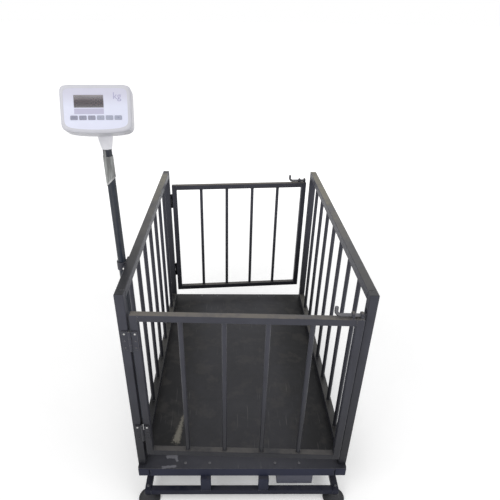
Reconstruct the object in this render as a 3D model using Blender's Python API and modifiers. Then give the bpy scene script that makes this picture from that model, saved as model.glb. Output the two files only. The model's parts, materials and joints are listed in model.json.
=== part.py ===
"""Livestock weighing crate: a barred cage with gates on a load-cell platform, and an indicator on a mast.

Metres, +Z up. +X is to the right of someone who faces the front gate, and +Y points away from them.
The origin is the middle of the whole object's footprint, on the floor.
"""

import math

import bmesh
import bpy
from mathutils import Matrix, Vector

OBJECT_NAME = "livestock_weigh_crate"

# Fits
SEAT = 0.0003
PIN_CLEARANCE = 0.0003
BOLT_CLEARANCE = 0.0005
KEEPER_CLEARANCE = 0.0038
WELD = 0.001

# Round pieces: sides of a large, a middling and a small circle
LARGE_SIDES = 20
ROUND_SIDES = 12
SMALL_SIDES = 8
HEX_SIDES = 6
EDGE_STEPS = 2
SMOOTH_ANGLE = math.radians(35)

# Cage of two barred side panels
CAGE_WIDTH = 0.800
CAGE_LENGTH = 1.200
CAGE_HEIGHT = 0.776
CAGE_TUBE = 0.030
CAGE_WALL = 0.002
TUBE_ROUND = 0.0025
SIDE_BARS = 7
BAR_DIAMETER = 0.016
DRAIN_HOLE = 0.008
DRAIN_INSET = 0.120

# Gates, each left a little open
GATE_HEIGHT = 0.645
GATE_LIFT = 0.0575
GATE_TUBE = 0.025
GATE_WALL = 0.002
GATE_GAP = 0.008
GATE_BARS = 4
FRONT_AJAR = math.radians(1.8)
REAR_AJAR = math.radians(5)

# Butt hinges
HINGE_HEIGHT = 0.075
HINGE_DROP = 0.097
HINGE_LIFT = 0.125
LEAF_WIDTH = 0.025
LEAF_THICKNESS = 0.003
KNUCKLES = 3
KNUCKLE_DIAMETER = 0.010
KNUCKLE_GAP = 0.0004
PIN_DIAMETER = 0.006
PIN_HEAD = 0.009
PIN_HEAD_HEIGHT = 0.002

# Slide bolts on the gates' top rails
BOLT_DIAMETER = 0.012
BOLT_RISE = 0.010
BOLT_LENGTH = 0.086
BOLT_SETBACK = 0.004
BOLT_HANDLE = 0.030
BOLT_BEND = 0.016
BOLT_BEND_STEPS = 5
EYE_WALL = 0.0055
EYE_THICKNESS = 0.008
EYE_INSET = 0.010
EYE_PITCH = 0.027

# Platform of tubes under a steel deck
PLATFORM_OVERHANG = 0.017
PLATFORM_TUBE = 0.040
PLATFORM_WALL = 0.0025
DECK_THICKNESS = 0.004

# Base frame with its overload stops
BASE_TUBE = 0.025
BASE_WALL = 0.002
BASE_OVERHANG = 0.015
SIDE_LINE_INSET = 0.030
STOP_WIDTH = 0.040
STOP_GAP = 0.004
STOP_LEFT = 0.142
STOP_BOX_GAP = 0.032

# Levelling feet
BASE_CLEARANCE = 0.045
FOOT_INSET = 0.018
PAD_DIAMETER = 0.086
PAD_NECK_DIAMETER = 0.034
PAD_HEIGHT = 0.038
PAD_LIP = 0.007
PAD_NECK = 0.008
PAD_STEPS = 5
STUD_DIAMETER = 0.012
STUD_SOCKET = 0.022
STUD_TIP = 0.008
NUT_ACROSS = 0.021
NUT_HEIGHT = 0.005

# Shear-beam load cells
CELL_LENGTH = 0.203
CELL_SECTION = 0.036
CELL_INSET = 0.062
CELL_POCKET = 0.026
CELL_POCKET_DEPTH = 0.011
CELL_BOLT_HOLE = 0.013
CELL_BOLT_PITCH = 0.040
BUTTON_DIAMETER = 0.024
BUTTON_HEIGHT = 0.017
BUTTON_INSET = 0.018
SPACER_LENGTH = 0.080
SPACER_HEIGHT = 0.017

# Junction box under the platform's front rail
BOX_INSET = 0.195
BOX_WIDTH = 0.140
BOX_DEPTH = 0.076
BOX_HEIGHT = 0.052
BOX_SETBACK = 0.004
BOX_WALL = 0.003
BOX_ROUND = 0.004
LID_THICKNESS = 0.006
GLANDS = 5
GLAND_PITCH = 0.024
GLAND_DIAMETER = 0.016
GLAND_LENGTH = 0.014
GLAND_BORE = 0.006
BOARD_THICKNESS = 0.0016
SUMMING_BOARD_MARGIN = 0.006
BOSS_DIAMETER = 0.007
BOX_BOSS_LENGTH = 0.008
BOX_BOSS_INSET = 0.012

# Mast outside the left panel
MAST_DIAMETER = 0.027
MAST_WALL = 0.002
MAST_STANDOFF = 0.003
MAST_SETBACK = 0.215
MAST_RISE = 0.377
MAST_FOOT = 0.006
CLAMP_WALL = 0.004
CLAMP_LENGTH = 0.072

# Swivel bracket in the mast's top
SPIGOT_LENGTH = 0.040
NECK_HEIGHT = 0.052
NECK_LIP = 0.0018
NECK_FLARE = 0.0084
FORK_WIDTH = 0.046
FORK_DEPTH = 0.030
PIVOT_RISE = 0.0924
INDICATOR_TURN = math.radians(4)
INDICATOR_TILT = math.radians(24)
TONGUE_WIDTH = 0.022
TONGUE_DEPTH = 0.026
TONGUE_SWEEP = 0.006
TILT_BOLT_DIAMETER = 0.008
KNOB_DIAMETER = 0.030
KNOB_THICKNESS = 0.014
KNOB_LOBES = 6
KNOB_SCALLOP = 0.008
TILT_NUT_ACROSS = 0.014
TILT_NUT_HEIGHT = 0.006

# Indicator housing: a bowed outline, deeper below the pivot than above it
HOUSING_WIDTH = 0.188
HOUSING_ABOVE = 0.0614
HOUSING_BELOW = 0.0653
HOUSING_SQUARE_ABOVE = 11.0
HOUSING_SQUARE_BELOW = 9.0
HOUSING_BOW = 0.11
HOUSING_CROWDING = 0.57
HOUSING_WALL = 0.0025
HOUSING_POINTS = 52
FRONT_DEPTH = 0.022
FRONT_ROUND = 0.006
REAR_DEPTH = 0.036
REAR_ROUND = 0.012
ROUND_STEPS = 3
HOUSING_STANDOFF = 0.031
PANEL_INSET = 0.010
PANEL_RECESS = 0.0006

# What shows in the indicator's face and what lies behind it
WINDOW_WIDTH = 0.078
WINDOW_HEIGHT = 0.033
WINDOW_LEDGE = 0.002
WINDOW_THICKNESS = 0.001
WINDOW_LEFT = 0.0177
WINDOW_RISE = 0.0179
KEYS = 6
KEY_WIDTH = 0.019
KEY_HEIGHT = 0.011
KEY_PITCH = 0.0232
KEY_DROP = 0.0245
KEY_PROUD = 0.0012
KEY_FLANGE = 0.0015
KEY_FLANGE_THICKNESS = 0.0015
KEY_STEM = 0.005
KEY_TRAVEL = 0.0008
KEY_ROUND = 0.002
SWITCH_HEIGHT = 0.004
BOARD_BACK = 0.008
DISPLAY_BOARD_MARGIN = 0.009
DIGIT_MARGIN = 0.004
MAIN_BOARD_WIDTH = 0.146
MAIN_BOARD_HEIGHT = 0.040
MAIN_BOARD_DROP = 0.030
MAIN_BOSS_PITCH = 0.136
MAIN_BOSS_DROP = 0.042
BATTERY_WIDTH = 0.097
BATTERY_HEIGHT = 0.052
BATTERY_DEPTH = 0.024
BATTERY_DROP = 0.014
BATTERY_ROUND = 0.002

# Levels, from the floor up
BASE_TOP = BASE_CLEARANCE + BASE_TUBE
CELL_BOTTOM = BASE_TOP + SEAT + BUTTON_HEIGHT
CELL_TOP = CELL_BOTTOM + CELL_SECTION
PLATFORM_BOTTOM = CELL_TOP + SEAT + SPACER_HEIGHT
PLATFORM_TOP = PLATFORM_BOTTOM + PLATFORM_TUBE
DECK_BOTTOM = PLATFORM_TOP + SEAT
DECK_TOP = DECK_BOTTOM + DECK_THICKNESS
CAGE_BOTTOM = DECK_TOP + SEAT
CAGE_TOP = CAGE_BOTTOM + CAGE_HEIGHT
GATE_BOTTOM = DECK_TOP + GATE_LIFT
GATE_TOP = GATE_BOTTOM + GATE_HEIGHT
BOLT_LEVEL = GATE_TOP + BOLT_RISE
MAST_TOP = CAGE_TOP + MAST_RISE
PIVOT_LEVEL = MAST_TOP + PIVOT_RISE

# Lines in plan
HALF_WIDTH = CAGE_WIDTH / 2
HALF_LENGTH = CAGE_LENGTH / 2
PLATFORM_END = HALF_LENGTH + PLATFORM_OVERHANG
BASE_END = PLATFORM_END + BASE_OVERHANG
SIDE_LINE = HALF_WIDTH - SIDE_LINE_INSET
BOX_PLACE = HALF_WIDTH - BOX_INSET
STOP_RIGHT = BOX_PLACE - BOX_WIDTH / 2 - STOP_BOX_GAP - STOP_WIDTH / 2
GATE_WIDTH = CAGE_WIDTH - 2 * (CAGE_TUBE + GATE_GAP)
HINGE_LINE = -HALF_WIDTH + CAGE_TUBE + GATE_GAP / 2
HINGE_OUT = KNUCKLE_DIAMETER / 2 + SEAT
MAST_LINE = -HALF_WIDTH - MAST_STANDOFF - MAST_DIAMETER / 2
MAST_PLACE = -HALF_LENGTH + MAST_SETBACK
PARTING = MAST_PLACE - HOUSING_STANDOFF - REAR_DEPTH
FRONT_FACE = PARTING - FRONT_DEPTH
PANEL_FACE = FRONT_FACE + PANEL_RECESS
FRONT_INSIDE = FRONT_FACE + PANEL_RECESS + HOUSING_WALL
BOARD_FRONT = PARTING - BOARD_BACK

CORNERS = (
    ("front_left", -1, -1),
    ("front_right", 1, -1),
    ("rear_left", -1, 1),
    ("rear_right", 1, 1),
)
TURN_TO_AXIS = {
    "X": Matrix.Rotation(math.pi / 2, 4, "Y"),
    "Y": Matrix.Rotation(math.pi / 2, 4, "X"),
    "Z": Matrix.Identity(4),
}

# Finishes: colour, roughness, metallic value
FINISHES = {
    "black_paint": ((0.055, 0.055, 0.062), 0.55, 0.2),
    "deck_steel": ((0.075, 0.073, 0.072), 0.65, 0.4),
    "zinc_steel": ((0.60, 0.60, 0.58), 0.35, 1.0),
    "nickel_steel": ((0.52, 0.51, 0.48), 0.3, 1.0),
    "foot_rubber": ((0.03, 0.03, 0.035), 0.8, 0.0),
    "grey_plastic": ((0.55, 0.55, 0.60), 0.5, 0.0),
    "white_plastic": ((0.80, 0.80, 0.86), 0.4, 0.0),
    "dark_window": ((0.05, 0.03, 0.03), 0.1, 0.0),
    "key_plastic": ((0.30, 0.32, 0.40), 0.5, 0.0),
    "circuit_board": ((0.04, 0.16, 0.08), 0.5, 0.0),
    "battery_case": ((0.10, 0.10, 0.11), 0.5, 0.0),
    "knob_plastic": ((0.04, 0.04, 0.045), 0.45, 0.0),
}

for leftover in list(bpy.data.objects):
    bpy.data.objects.remove(leftover, do_unlink=True)

PARTS = bpy.data.collections.new(OBJECT_NAME)
CUTTERS = bpy.data.collections.new("cutters")
bpy.context.scene.collection.children.link(PARTS)
bpy.context.scene.collection.children.link(CUTTERS)

# Where each object stands in the assembly, with the gates shut
PLACES = {}


def finish(name):
    """The material of that name, made the first time it is asked for."""
    if name in bpy.data.materials:
        return bpy.data.materials[name]
    colour, roughness, metallic = FINISHES[name]
    material = bpy.data.materials.new(name)
    material.use_nodes = True
    shader = material.node_tree.nodes["Principled BSDF"]
    shader.inputs["Base Color"].default_value = (*colour, 1.0)
    shader.inputs["Roughness"].default_value = roughness
    shader.inputs["Metallic"].default_value = metallic
    material.diffuse_color = (*colour, 1.0)
    return material


def put(obj, at, parent, collection):
    """Stands an object at a point of the assembly, under its parent."""
    collection.objects.link(obj)
    PLACES[obj.name] = Vector(at)
    if parent:
        obj.parent = parent
        obj.location = PLACES[obj.name] - PLACES[parent.name]
    else:
        obj.location = PLACES[obj.name]


def pivot(name, at, parent, turn=0.0, tilt=0.0):
    """An empty on a joint's axis, turned about Z and tilted up at the front from the assembly's lines."""
    empty = bpy.data.objects.new(name, None)
    empty.empty_display_size = 0.05
    put(empty, at, parent, PARTS)
    empty.rotation_euler = (-tilt, 0, turn)
    return empty


def part(name, data, at, parent, material):
    """One physical piece."""
    obj = bpy.data.objects.new(name, data)
    put(obj, at, parent, PARTS)
    data.materials.append(finish(material))
    return obj


def tool(target, data, at, operation="DIFFERENCE"):
    """Joins a shape to a piece, or cuts it out of the piece."""
    order = len(target.modifiers)
    obj = bpy.data.objects.new(f"{target.name}_{operation.lower()}_{order}", data)
    put(obj, at, target, CUTTERS)
    obj.hide_render = True
    obj.display_type = "WIRE"
    modifier = target.modifiers.new(obj.name, "BOOLEAN")
    modifier.operation = operation
    modifier.solver = "EXACT"
    modifier.object = obj
    return obj


def join(target, data, at):
    return tool(target, data, at, "UNION")


def mesh_of(shape, smooth=False):
    """A mesh from a filled bmesh."""
    mesh = bpy.data.meshes.new("shape")
    shape.to_mesh(mesh)
    shape.free()
    if smooth:
        mesh.shade_smooth()
        mesh.set_sharp_from_angle(angle=SMOOTH_ANGLE)
    return mesh


def add_box(shape, size, at=(0, 0, 0), along=None, radius=0.0):
    """A block, with its edges along one axis rounded."""
    matrix = Matrix.Translation(at) @ Matrix.Diagonal((*size, 1))
    made = bmesh.ops.create_cube(shape, size=1, matrix=matrix)["verts"]
    if not radius:
        return
    number = "XYZ".index(along)
    edges = set()
    for vertex in made:
        for edge in vertex.link_edges:
            run = edge.verts[1].co - edge.verts[0].co
            if abs(run[number]) > 0.999 * run.length:
                edges.add(edge)
    bmesh.ops.bevel(
        shape, geom=list(edges), offset=radius, segments=EDGE_STEPS, profile=0.5, affect="EDGES"
    )


def box(size, along=None, radius=0.0):
    shape = bmesh.new()
    add_box(shape, size, (0, 0, 0), along, radius)
    return mesh_of(shape, smooth=radius > 0)


def add_rod(shape, diameter, length, axis, at=(0, 0, 0), sides=ROUND_SIDES):
    """A round rod, its middle at the given point."""
    bmesh.ops.create_cone(
        shape,
        cap_ends=True,
        segments=sides,
        radius1=diameter / 2,
        radius2=diameter / 2,
        depth=length,
        matrix=Matrix.Translation(at) @ TURN_TO_AXIS[axis],
    )


def rod(diameter, length, axis, sides=ROUND_SIDES):
    shape = bmesh.new()
    add_rod(shape, diameter, length, axis, (0, 0, 0), sides)
    return mesh_of(shape, smooth=True)


def rods(places, diameter, length, axis, sides=ROUND_SIDES):
    """Several like rods that stand apart, in one mesh."""
    shape = bmesh.new()
    for place in places:
        add_rod(shape, diameter, length, axis, place, sides)
    return mesh_of(shape, smooth=True)


def spread(count, pitch):
    """Evenly pitched places, centred on zero."""
    return [(k - (count - 1) / 2) * pitch for k in range(count)]


def turned(profile, sides=LARGE_SIDES):
    """A solid of revolution about Z, from (radius, height) points down its outer side."""
    shape = bmesh.new()
    vertices = [shape.verts.new((radius, 0, height)) for radius, height in profile]
    for first, second in zip(vertices, vertices[1:]):
        shape.edges.new((first, second))
    bmesh.ops.spin(
        shape,
        geom=shape.verts[:] + shape.edges[:],
        cent=(0, 0, 0),
        axis=(0, 0, 1),
        angle=2 * math.pi,
        steps=sides,
        use_merge=True,
    )
    bmesh.ops.remove_doubles(shape, verts=shape.verts[:], dist=1e-6)
    bmesh.ops.recalc_face_normals(shape, faces=shape.faces[:])
    return mesh_of(shape, smooth=True)


def lofted(rings):
    """A closed skin over rings of as many points each, in order, with a flat end at each end."""
    shape = bmesh.new()
    rows = [[shape.verts.new(point) for point in ring] for ring in rings]
    for low, high in zip(rows, rows[1:]):
        for k in range(len(low)):
            shape.faces.new((low[k - 1], low[k], high[k], high[k - 1]))
    shape.faces.new(rows[0])
    shape.faces.new(rows[-1])
    bmesh.ops.recalc_face_normals(shape, faces=shape.faces[:])
    return mesh_of(shape, smooth=True)


def ring_plane(outer, band, plane):
    """A flat rectangular ring, upright in the XZ or the YZ plane."""
    shape = bmesh.new()
    bmesh.ops.create_grid(shape, x_segments=3, y_segments=3, size=1)
    middle = min(shape.faces, key=lambda face: face.calc_center_median().length)
    bmesh.ops.delete(shape, geom=[middle], context="FACES_ONLY")
    for vertex in shape.verts:
        across, up = (
            math.copysign(side / 2 - (band if abs(value) < 0.9 else 0), value)
            for value, side in zip(vertex.co[:2], outer)
        )
        vertex.co = (across, 0, up) if plane == "XZ" else (0, across, up)
    return mesh_of(shape)


def thicken(obj, thickness, radius=0.0):
    """Gives a flat shape its thickness, half on each side, and rounds its edges."""
    solidify = obj.modifiers.new("thickness", "SOLIDIFY")
    solidify.thickness = thickness
    solidify.offset = 0
    if radius:
        bevel = obj.modifiers.new("rounding", "BEVEL")
        bevel.width = radius
        bevel.segments = EDGE_STEPS
        bevel.limit_method = "ANGLE"
        bevel.angle_limit = math.radians(60)


def barred_frame(name, outer, tube, wall, bars, plane, at, parent):
    """A welded frame of square tube, hollow all round, with upright bars between its rails."""
    frame = part(name, ring_plane(outer, tube, plane), at, parent, "black_paint")
    thicken(frame, tube, TUBE_ROUND)
    hollow = [side - 2 * wall for side in outer]
    thicken(tool(frame, ring_plane(hollow, tube - 2 * wall, plane), at), tube - 2 * wall)
    clear_width = outer[0] - 2 * tube
    pitch = (clear_width + BAR_DIAMETER) / (bars + 1)
    places = [(x, 0, 0) if plane == "XZ" else (0, x, 0) for x in spread(bars, pitch)]
    bar_length = outer[1] - 2 * tube + 2 * WELD
    join(frame, rods(places, BAR_DIAMETER, bar_length, "Z"), at)
    drains = [
        (x, 0, 0) if plane == "XZ" else (0, x, 0)
        for x in (DRAIN_INSET - outer[0] / 2, outer[0] / 2 - DRAIN_INSET)
    ]
    underside = Vector(at) - Vector((0, 0, outer[1] / 2))
    tool(frame, rods(drains, DRAIN_HOLE, 4 * wall, "Z", SMALL_SIDES), underside)
    return frame


def closed_tube(name, size, wall, along, at, parent):
    """A square tube with its ends capped."""
    tube = part(name, box(size, along, TUBE_ROUND), at, parent, "black_paint")
    tool(tube, box([side - 2 * wall for side in size]), at)
    return tube


def open_tube(name, size, wall, along, at, parent):
    """A square tube that is open at both ends."""
    tube = part(name, box(size, along, TUBE_ROUND), at, parent, "black_paint")
    bore = [side - 2 * wall for side in size]
    bore["XYZ".index(along)] = 2 * max(size)
    tool(tube, box(bore), at)
    return tube


def build_base(root):
    """Two long rails with the feet's nuts, and two cross rails with the overload stops."""
    level = BASE_CLEARANCE + BASE_TUBE / 2
    foot_place = BASE_END - FOOT_INSET
    for name, side in (("left", -1), ("right", 1)):
        at = Vector((side * SIDE_LINE, 0, level))
        rail = closed_tube(
            f"base_side_rail_{name}", (BASE_TUBE, 2 * BASE_END, BASE_TUBE), BASE_WALL, "Y", at, root
        )
        for end in (-1, 1):
            foot_line = Vector((side * SIDE_LINE, end * foot_place, 0))
            nut_level = BASE_TOP + (NUT_HEIGHT - WELD) / 2
            nut = rod(NUT_ACROSS, NUT_HEIGHT + WELD, "Z", HEX_SIDES)
            join(rail, nut, foot_line + Vector((0, 0, nut_level)))
            hole = rod(STUD_DIAMETER + 2 * PIN_CLEARANCE, 3 * BASE_TUBE, "Z")
            tool(rail, hole, foot_line + Vector((0, 0, level)))
    cross_length = 2 * (SIDE_LINE - BASE_TUBE / 2 - SEAT)
    stop_height = PLATFORM_BOTTOM - STOP_GAP - BASE_TOP + WELD
    for name, end in (("front", -1), ("rear", 1)):
        at = Vector((0, end * (BASE_END - BASE_TUBE / 2), level))
        rail = open_tube(
            f"base_{name}_rail", (cross_length, BASE_TUBE, BASE_TUBE), BASE_WALL, "X", at, root
        )
        for place in (-STOP_LEFT, STOP_RIGHT):
            stop_at = at + Vector((place, 0, BASE_TUBE / 2 - WELD + stop_height / 2))
            join(rail, box((STOP_WIDTH, BASE_TUBE - 2 * WELD, stop_height), "Z", TUBE_ROUND), stop_at)


def pad_profile():
    """A bell: a lip on the floor, a hollow flare and a straight neck with the stud's socket."""
    foot, neck = PAD_DIAMETER / 2, PAD_NECK_DIAMETER / 2
    socket = STUD_DIAMETER / 2 + PIN_CLEARANCE
    flare_top = PAD_HEIGHT - PAD_NECK
    points = [(0, PAD_HEIGHT - STUD_SOCKET), (socket, PAD_HEIGHT - STUD_SOCKET), (socket, PAD_HEIGHT)]
    points.append((neck, PAD_HEIGHT))
    for k in range(PAD_STEPS + 1):
        angle = math.pi / 2 * k / PAD_STEPS
        radius = neck + (foot - neck) * (1 - math.cos(angle))
        height = flare_top - (flare_top - PAD_LIP) * math.sin(angle)
        points.append((radius, height))
    points += [(foot, 0), (0, 0)]
    return points


def build_feet(root):
    """A rubber bell on a threaded stud under each corner."""
    for name, side, end in CORNERS:
        line = Vector((side * SIDE_LINE, end * (BASE_END - FOOT_INSET), 0))
        foot = pivot(f"foot_{name}_slide", line, root)
        part(f"foot_pad_{name}", turned(pad_profile()), line, foot, "foot_rubber")
        stud_bottom = PAD_HEIGHT - STUD_SOCKET + SEAT
        stud_top = BASE_TOP + STUD_TIP
        length = stud_top - stud_bottom
        stud_at = line + Vector((0, 0, stud_bottom + length / 2))
        part(f"foot_stud_{name}", rod(STUD_DIAMETER, length, "Z"), stud_at, foot, "zinc_steel")


def build_load_cells(root):
    """A shear beam at each corner: a button on the base rail, and a bolted end under the platform rail."""
    for name, side, end in CORNERS:
        outer_end = PLATFORM_END - CELL_INSET
        middle = outer_end - CELL_LENGTH / 2
        at = Vector((side * SIDE_LINE, end * middle, CELL_BOTTOM + CELL_SECTION / 2))
        size = (CELL_SECTION, CELL_LENGTH, CELL_SECTION)
        cell = part(f"load_cell_{name}", box(size, "Y", TUBE_ROUND), at, root, "nickel_steel")
        for face in (-1, 1):
            pocket = rod(CELL_POCKET, 2 * CELL_POCKET_DEPTH, "X")
            tool(cell, pocket, at + Vector((face * CELL_SECTION / 2, 0, 0)))
        button_at = Vector((side * SIDE_LINE, end * (outer_end - BUTTON_INSET), CELL_BOTTOM))
        button_at.z += WELD / 2 - BUTTON_HEIGHT / 2
        join(cell, rod(BUTTON_DIAMETER, BUTTON_HEIGHT + WELD, "Z"), button_at)
        holes = rods(cell_bolt_places(), CELL_BOLT_HOLE, 2 * CELL_SECTION, "Z")
        tool(cell, holes, spacer_at(side, end, at.z))


def cell_bolt_places():
    return [(0, y, 0) for y in spread(2, CELL_BOLT_PITCH)]


def spacer_at(side, end, level):
    """The middle of a load cell's bolted end."""
    place = PLATFORM_END - CELL_INSET - CELL_LENGTH + SPACER_LENGTH / 2
    return Vector((side * SIDE_LINE, end * place, level))


def build_platform(root):
    """Side rails with spacer pads for the cells, cross rails between them, and the deck on top."""
    level = PLATFORM_BOTTOM + PLATFORM_TUBE / 2
    rail_line = HALF_WIDTH - PLATFORM_TUBE / 2
    for name, side in (("left", -1), ("right", 1)):
        at = Vector((side * rail_line, 0, level))
        rail = closed_tube(
            f"platform_side_rail_{name}",
            (PLATFORM_TUBE, 2 * PLATFORM_END, PLATFORM_TUBE),
            PLATFORM_WALL,
            "Y",
            at,
            root,
        )
        for end in (-1, 1):
            pad_at = spacer_at(side, end, PLATFORM_BOTTOM - SPACER_HEIGHT / 2 + WELD / 2)
            join(rail, box((CELL_SECTION, SPACER_LENGTH, SPACER_HEIGHT + WELD)), pad_at)
            holes = rods(cell_bolt_places(), CELL_BOLT_HOLE, PLATFORM_TUBE + SPACER_HEIGHT, "Z")
            tool(rail, holes, spacer_at(side, end, PLATFORM_BOTTOM))
    cross_length = CAGE_WIDTH - 2 * (PLATFORM_TUBE + SEAT)
    cross_end = PLATFORM_END - PLATFORM_TUBE / 2
    crosses = (
        ("platform_front_rail", -cross_end),
        ("platform_cross_beam", 0),
        ("platform_rear_rail", cross_end),
    )
    for name, place in crosses:
        size = (cross_length, PLATFORM_TUBE, PLATFORM_TUBE)
        open_tube(name, size, PLATFORM_WALL, "X", Vector((0, place, level)), root)
    deck_at = Vector((0, 0, DECK_BOTTOM + DECK_THICKNESS / 2))
    deck = box((CAGE_WIDTH, 2 * PLATFORM_END, DECK_THICKNESS), "Z", TUBE_ROUND)
    part("deck_plate", deck, deck_at, root, "deck_steel")


def build_junction_box(root):
    """A hollow box that opens to the front, its lid, its cable glands and its summing board."""
    front = -PLATFORM_END + BOX_SETBACK
    body_front = front + LID_THICKNESS + SEAT
    body_depth = BOX_DEPTH - LID_THICKNESS - SEAT
    level = PLATFORM_BOTTOM - SEAT - BOX_HEIGHT / 2
    at = Vector((BOX_PLACE, body_front + body_depth / 2, level))
    size = (BOX_WIDTH, body_depth, BOX_HEIGHT)
    body = part("junction_box", box(size, "Y", BOX_ROUND), at, root, "grey_plastic")
    inside = (BOX_WIDTH - 2 * BOX_WALL, 2 * (body_depth - BOX_WALL), BOX_HEIGHT - 2 * BOX_WALL)
    tool(body, box(inside), Vector((BOX_PLACE, body_front, level)))
    back = body_front + body_depth
    boss_x = BOX_WIDTH / 2 - BOX_WALL - BOX_BOSS_INSET
    boss_length = BOX_BOSS_LENGTH + WELD
    bosses = rods([(-boss_x, 0, 0), (boss_x, 0, 0)], BOSS_DIAMETER, boss_length, "Y", SMALL_SIDES)
    join(body, bosses, Vector((BOX_PLACE, back - BOX_WALL + WELD - boss_length / 2, level)))
    gland_places = [(x, 0, 0) for x in spread(GLANDS, GLAND_PITCH)]
    gland_length = GLAND_LENGTH + WELD
    glands = rods(gland_places, GLAND_DIAMETER, gland_length, "Y", SMALL_SIDES)
    join(body, glands, Vector((BOX_PLACE, back - WELD + gland_length / 2, level)))
    bores = rods(gland_places, GLAND_BORE, 2 * GLAND_LENGTH, "Y", SMALL_SIDES)
    tool(body, bores, Vector((BOX_PLACE, back + GLAND_LENGTH, level)))
    lid_at = Vector((BOX_PLACE, front + LID_THICKNESS / 2, level))
    lid = box((BOX_WIDTH, LID_THICKNESS, BOX_HEIGHT), "Y", BOX_ROUND)
    part("junction_box_lid", lid, lid_at, root, "grey_plastic")
    margin = 2 * (BOX_WALL + SUMMING_BOARD_MARGIN)
    board = box((BOX_WIDTH - margin, BOARD_THICKNESS, BOX_HEIGHT - margin))
    board_back = back - BOX_WALL - BOX_BOSS_LENGTH - SEAT
    board_at = Vector((BOX_PLACE, board_back - BOARD_THICKNESS / 2, level))
    part("summing_board", board, board_at, root, "circuit_board")


def gate_middle(end):
    """The middle line of a shut gate's tubes."""
    return end * (HALF_LENGTH - GATE_TUBE / 2)


def build_side_panels(root):
    """The barred sides. The right one has the slide bolts' holes in its two posts."""
    for name, side in (("left", -1), ("right", 1)):
        at = Vector((side * (HALF_WIDTH - CAGE_TUBE / 2), 0, CAGE_BOTTOM + CAGE_HEIGHT / 2))
        outer = (CAGE_LENGTH, CAGE_HEIGHT)
        panel = barred_frame(
            f"side_panel_{name}", outer, CAGE_TUBE, CAGE_WALL, SIDE_BARS, "YZ", at, root
        )
        if side < 0:
            continue
        for end in (-1, 1):
            keeper = rod(BOLT_DIAMETER + 2 * KEEPER_CLEARANCE, CAGE_TUBE, "X")
            tool(panel, keeper, Vector((HALF_WIDTH - CAGE_TUBE, gate_middle(end), BOLT_LEVEL)))


def build_hinge(prefix, suffix, end, level, post_parent, gate_parent):
    """A butt hinge: the post's leaf has the odd knuckles, the gate's leaf has the even ones."""
    axis = Vector((HINGE_LINE, end * (HALF_LENGTH + HINGE_OUT), level))
    pitch = (HINGE_HEIGHT + KNUCKLE_GAP) / KNUCKLES
    knuckle_length = pitch - KNUCKLE_GAP
    heights = spread(KNUCKLES, pitch)
    plate_start = KNUCKLE_DIAMETER / 2 + KNUCKLE_GAP
    plate_y = -end * (KNUCKLE_DIAMETER / 2 - LEAF_THICKNESS / 2)
    leaves = (("post", -1, heights[0::2], post_parent), ("gate", 1, heights[1::2], gate_parent))
    for owner, side, own_heights, parent in leaves:
        plate_width = LEAF_WIDTH - plate_start
        plate_at = axis + Vector((side * (plate_start + plate_width / 2), plate_y, 0))
        plate = box((plate_width, LEAF_THICKNESS, HINGE_HEIGHT))
        leaf = part(f"{prefix}_{owner}_hinge_leaf_{suffix}", plate, plate_at, parent, "black_paint")
        tab_width = plate_start - KNUCKLE_DIAMETER / 8 + WELD
        tab_x = side * (plate_start + WELD - tab_width / 2)
        tabs = bmesh.new()
        for height in own_heights:
            add_box(tabs, (tab_width, LEAF_THICKNESS - WELD / 5, knuckle_length), (tab_x, plate_y, height))
        join(leaf, mesh_of(tabs), axis)
        knuckle_places = [(0, 0, height) for height in own_heights]
        join(leaf, rods(knuckle_places, KNUCKLE_DIAMETER, knuckle_length, "Z"), axis)
        bore = rod(PIN_DIAMETER + 2 * PIN_CLEARANCE, 2 * HINGE_HEIGHT, "Z")
        tool(leaf, bore, axis)
    pin = part(
        f"{prefix}_hinge_pin_{suffix}",
        rod(PIN_DIAMETER, HINGE_HEIGHT, "Z"),
        axis,
        post_parent,
        "zinc_steel",
    )
    head_at = axis + Vector((0, 0, HINGE_HEIGHT / 2 + SEAT + PIN_HEAD_HEIGHT / 2))
    neck_at = axis + Vector((0, 0, HINGE_HEIGHT / 2))
    join(pin, rod(PIN_HEAD, PIN_HEAD_HEIGHT, "Z"), head_at)
    join(pin, rod(PIN_DIAMETER - WELD, PIN_HEAD_HEIGHT, "Z"), neck_at)


def bolt_curve(name):
    """A round rod along X that turns up into its handle."""
    run = BOLT_LENGTH - BOLT_BEND
    points = [(0, 0, 0), (-run, 0, 0)]
    for k in range(1, BOLT_BEND_STEPS + 1):
        angle = math.pi / 2 * k / BOLT_BEND_STEPS
        points.append((-run - BOLT_BEND * math.sin(angle), 0, BOLT_BEND * (1 - math.cos(angle))))
    points.append((-BOLT_LENGTH, 0, BOLT_HANDLE))
    curve = bpy.data.curves.new(name, "CURVE")
    curve.dimensions = "3D"
    curve.bevel_depth = BOLT_DIAMETER / 2
    curve.bevel_resolution = 4
    curve.use_fill_caps = True
    spline = curve.splines.new("POLY")
    spline.points.add(len(points) - 1)
    for point, place in zip(spline.points, points):
        point.co = (*place, 1)
    return curve


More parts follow.
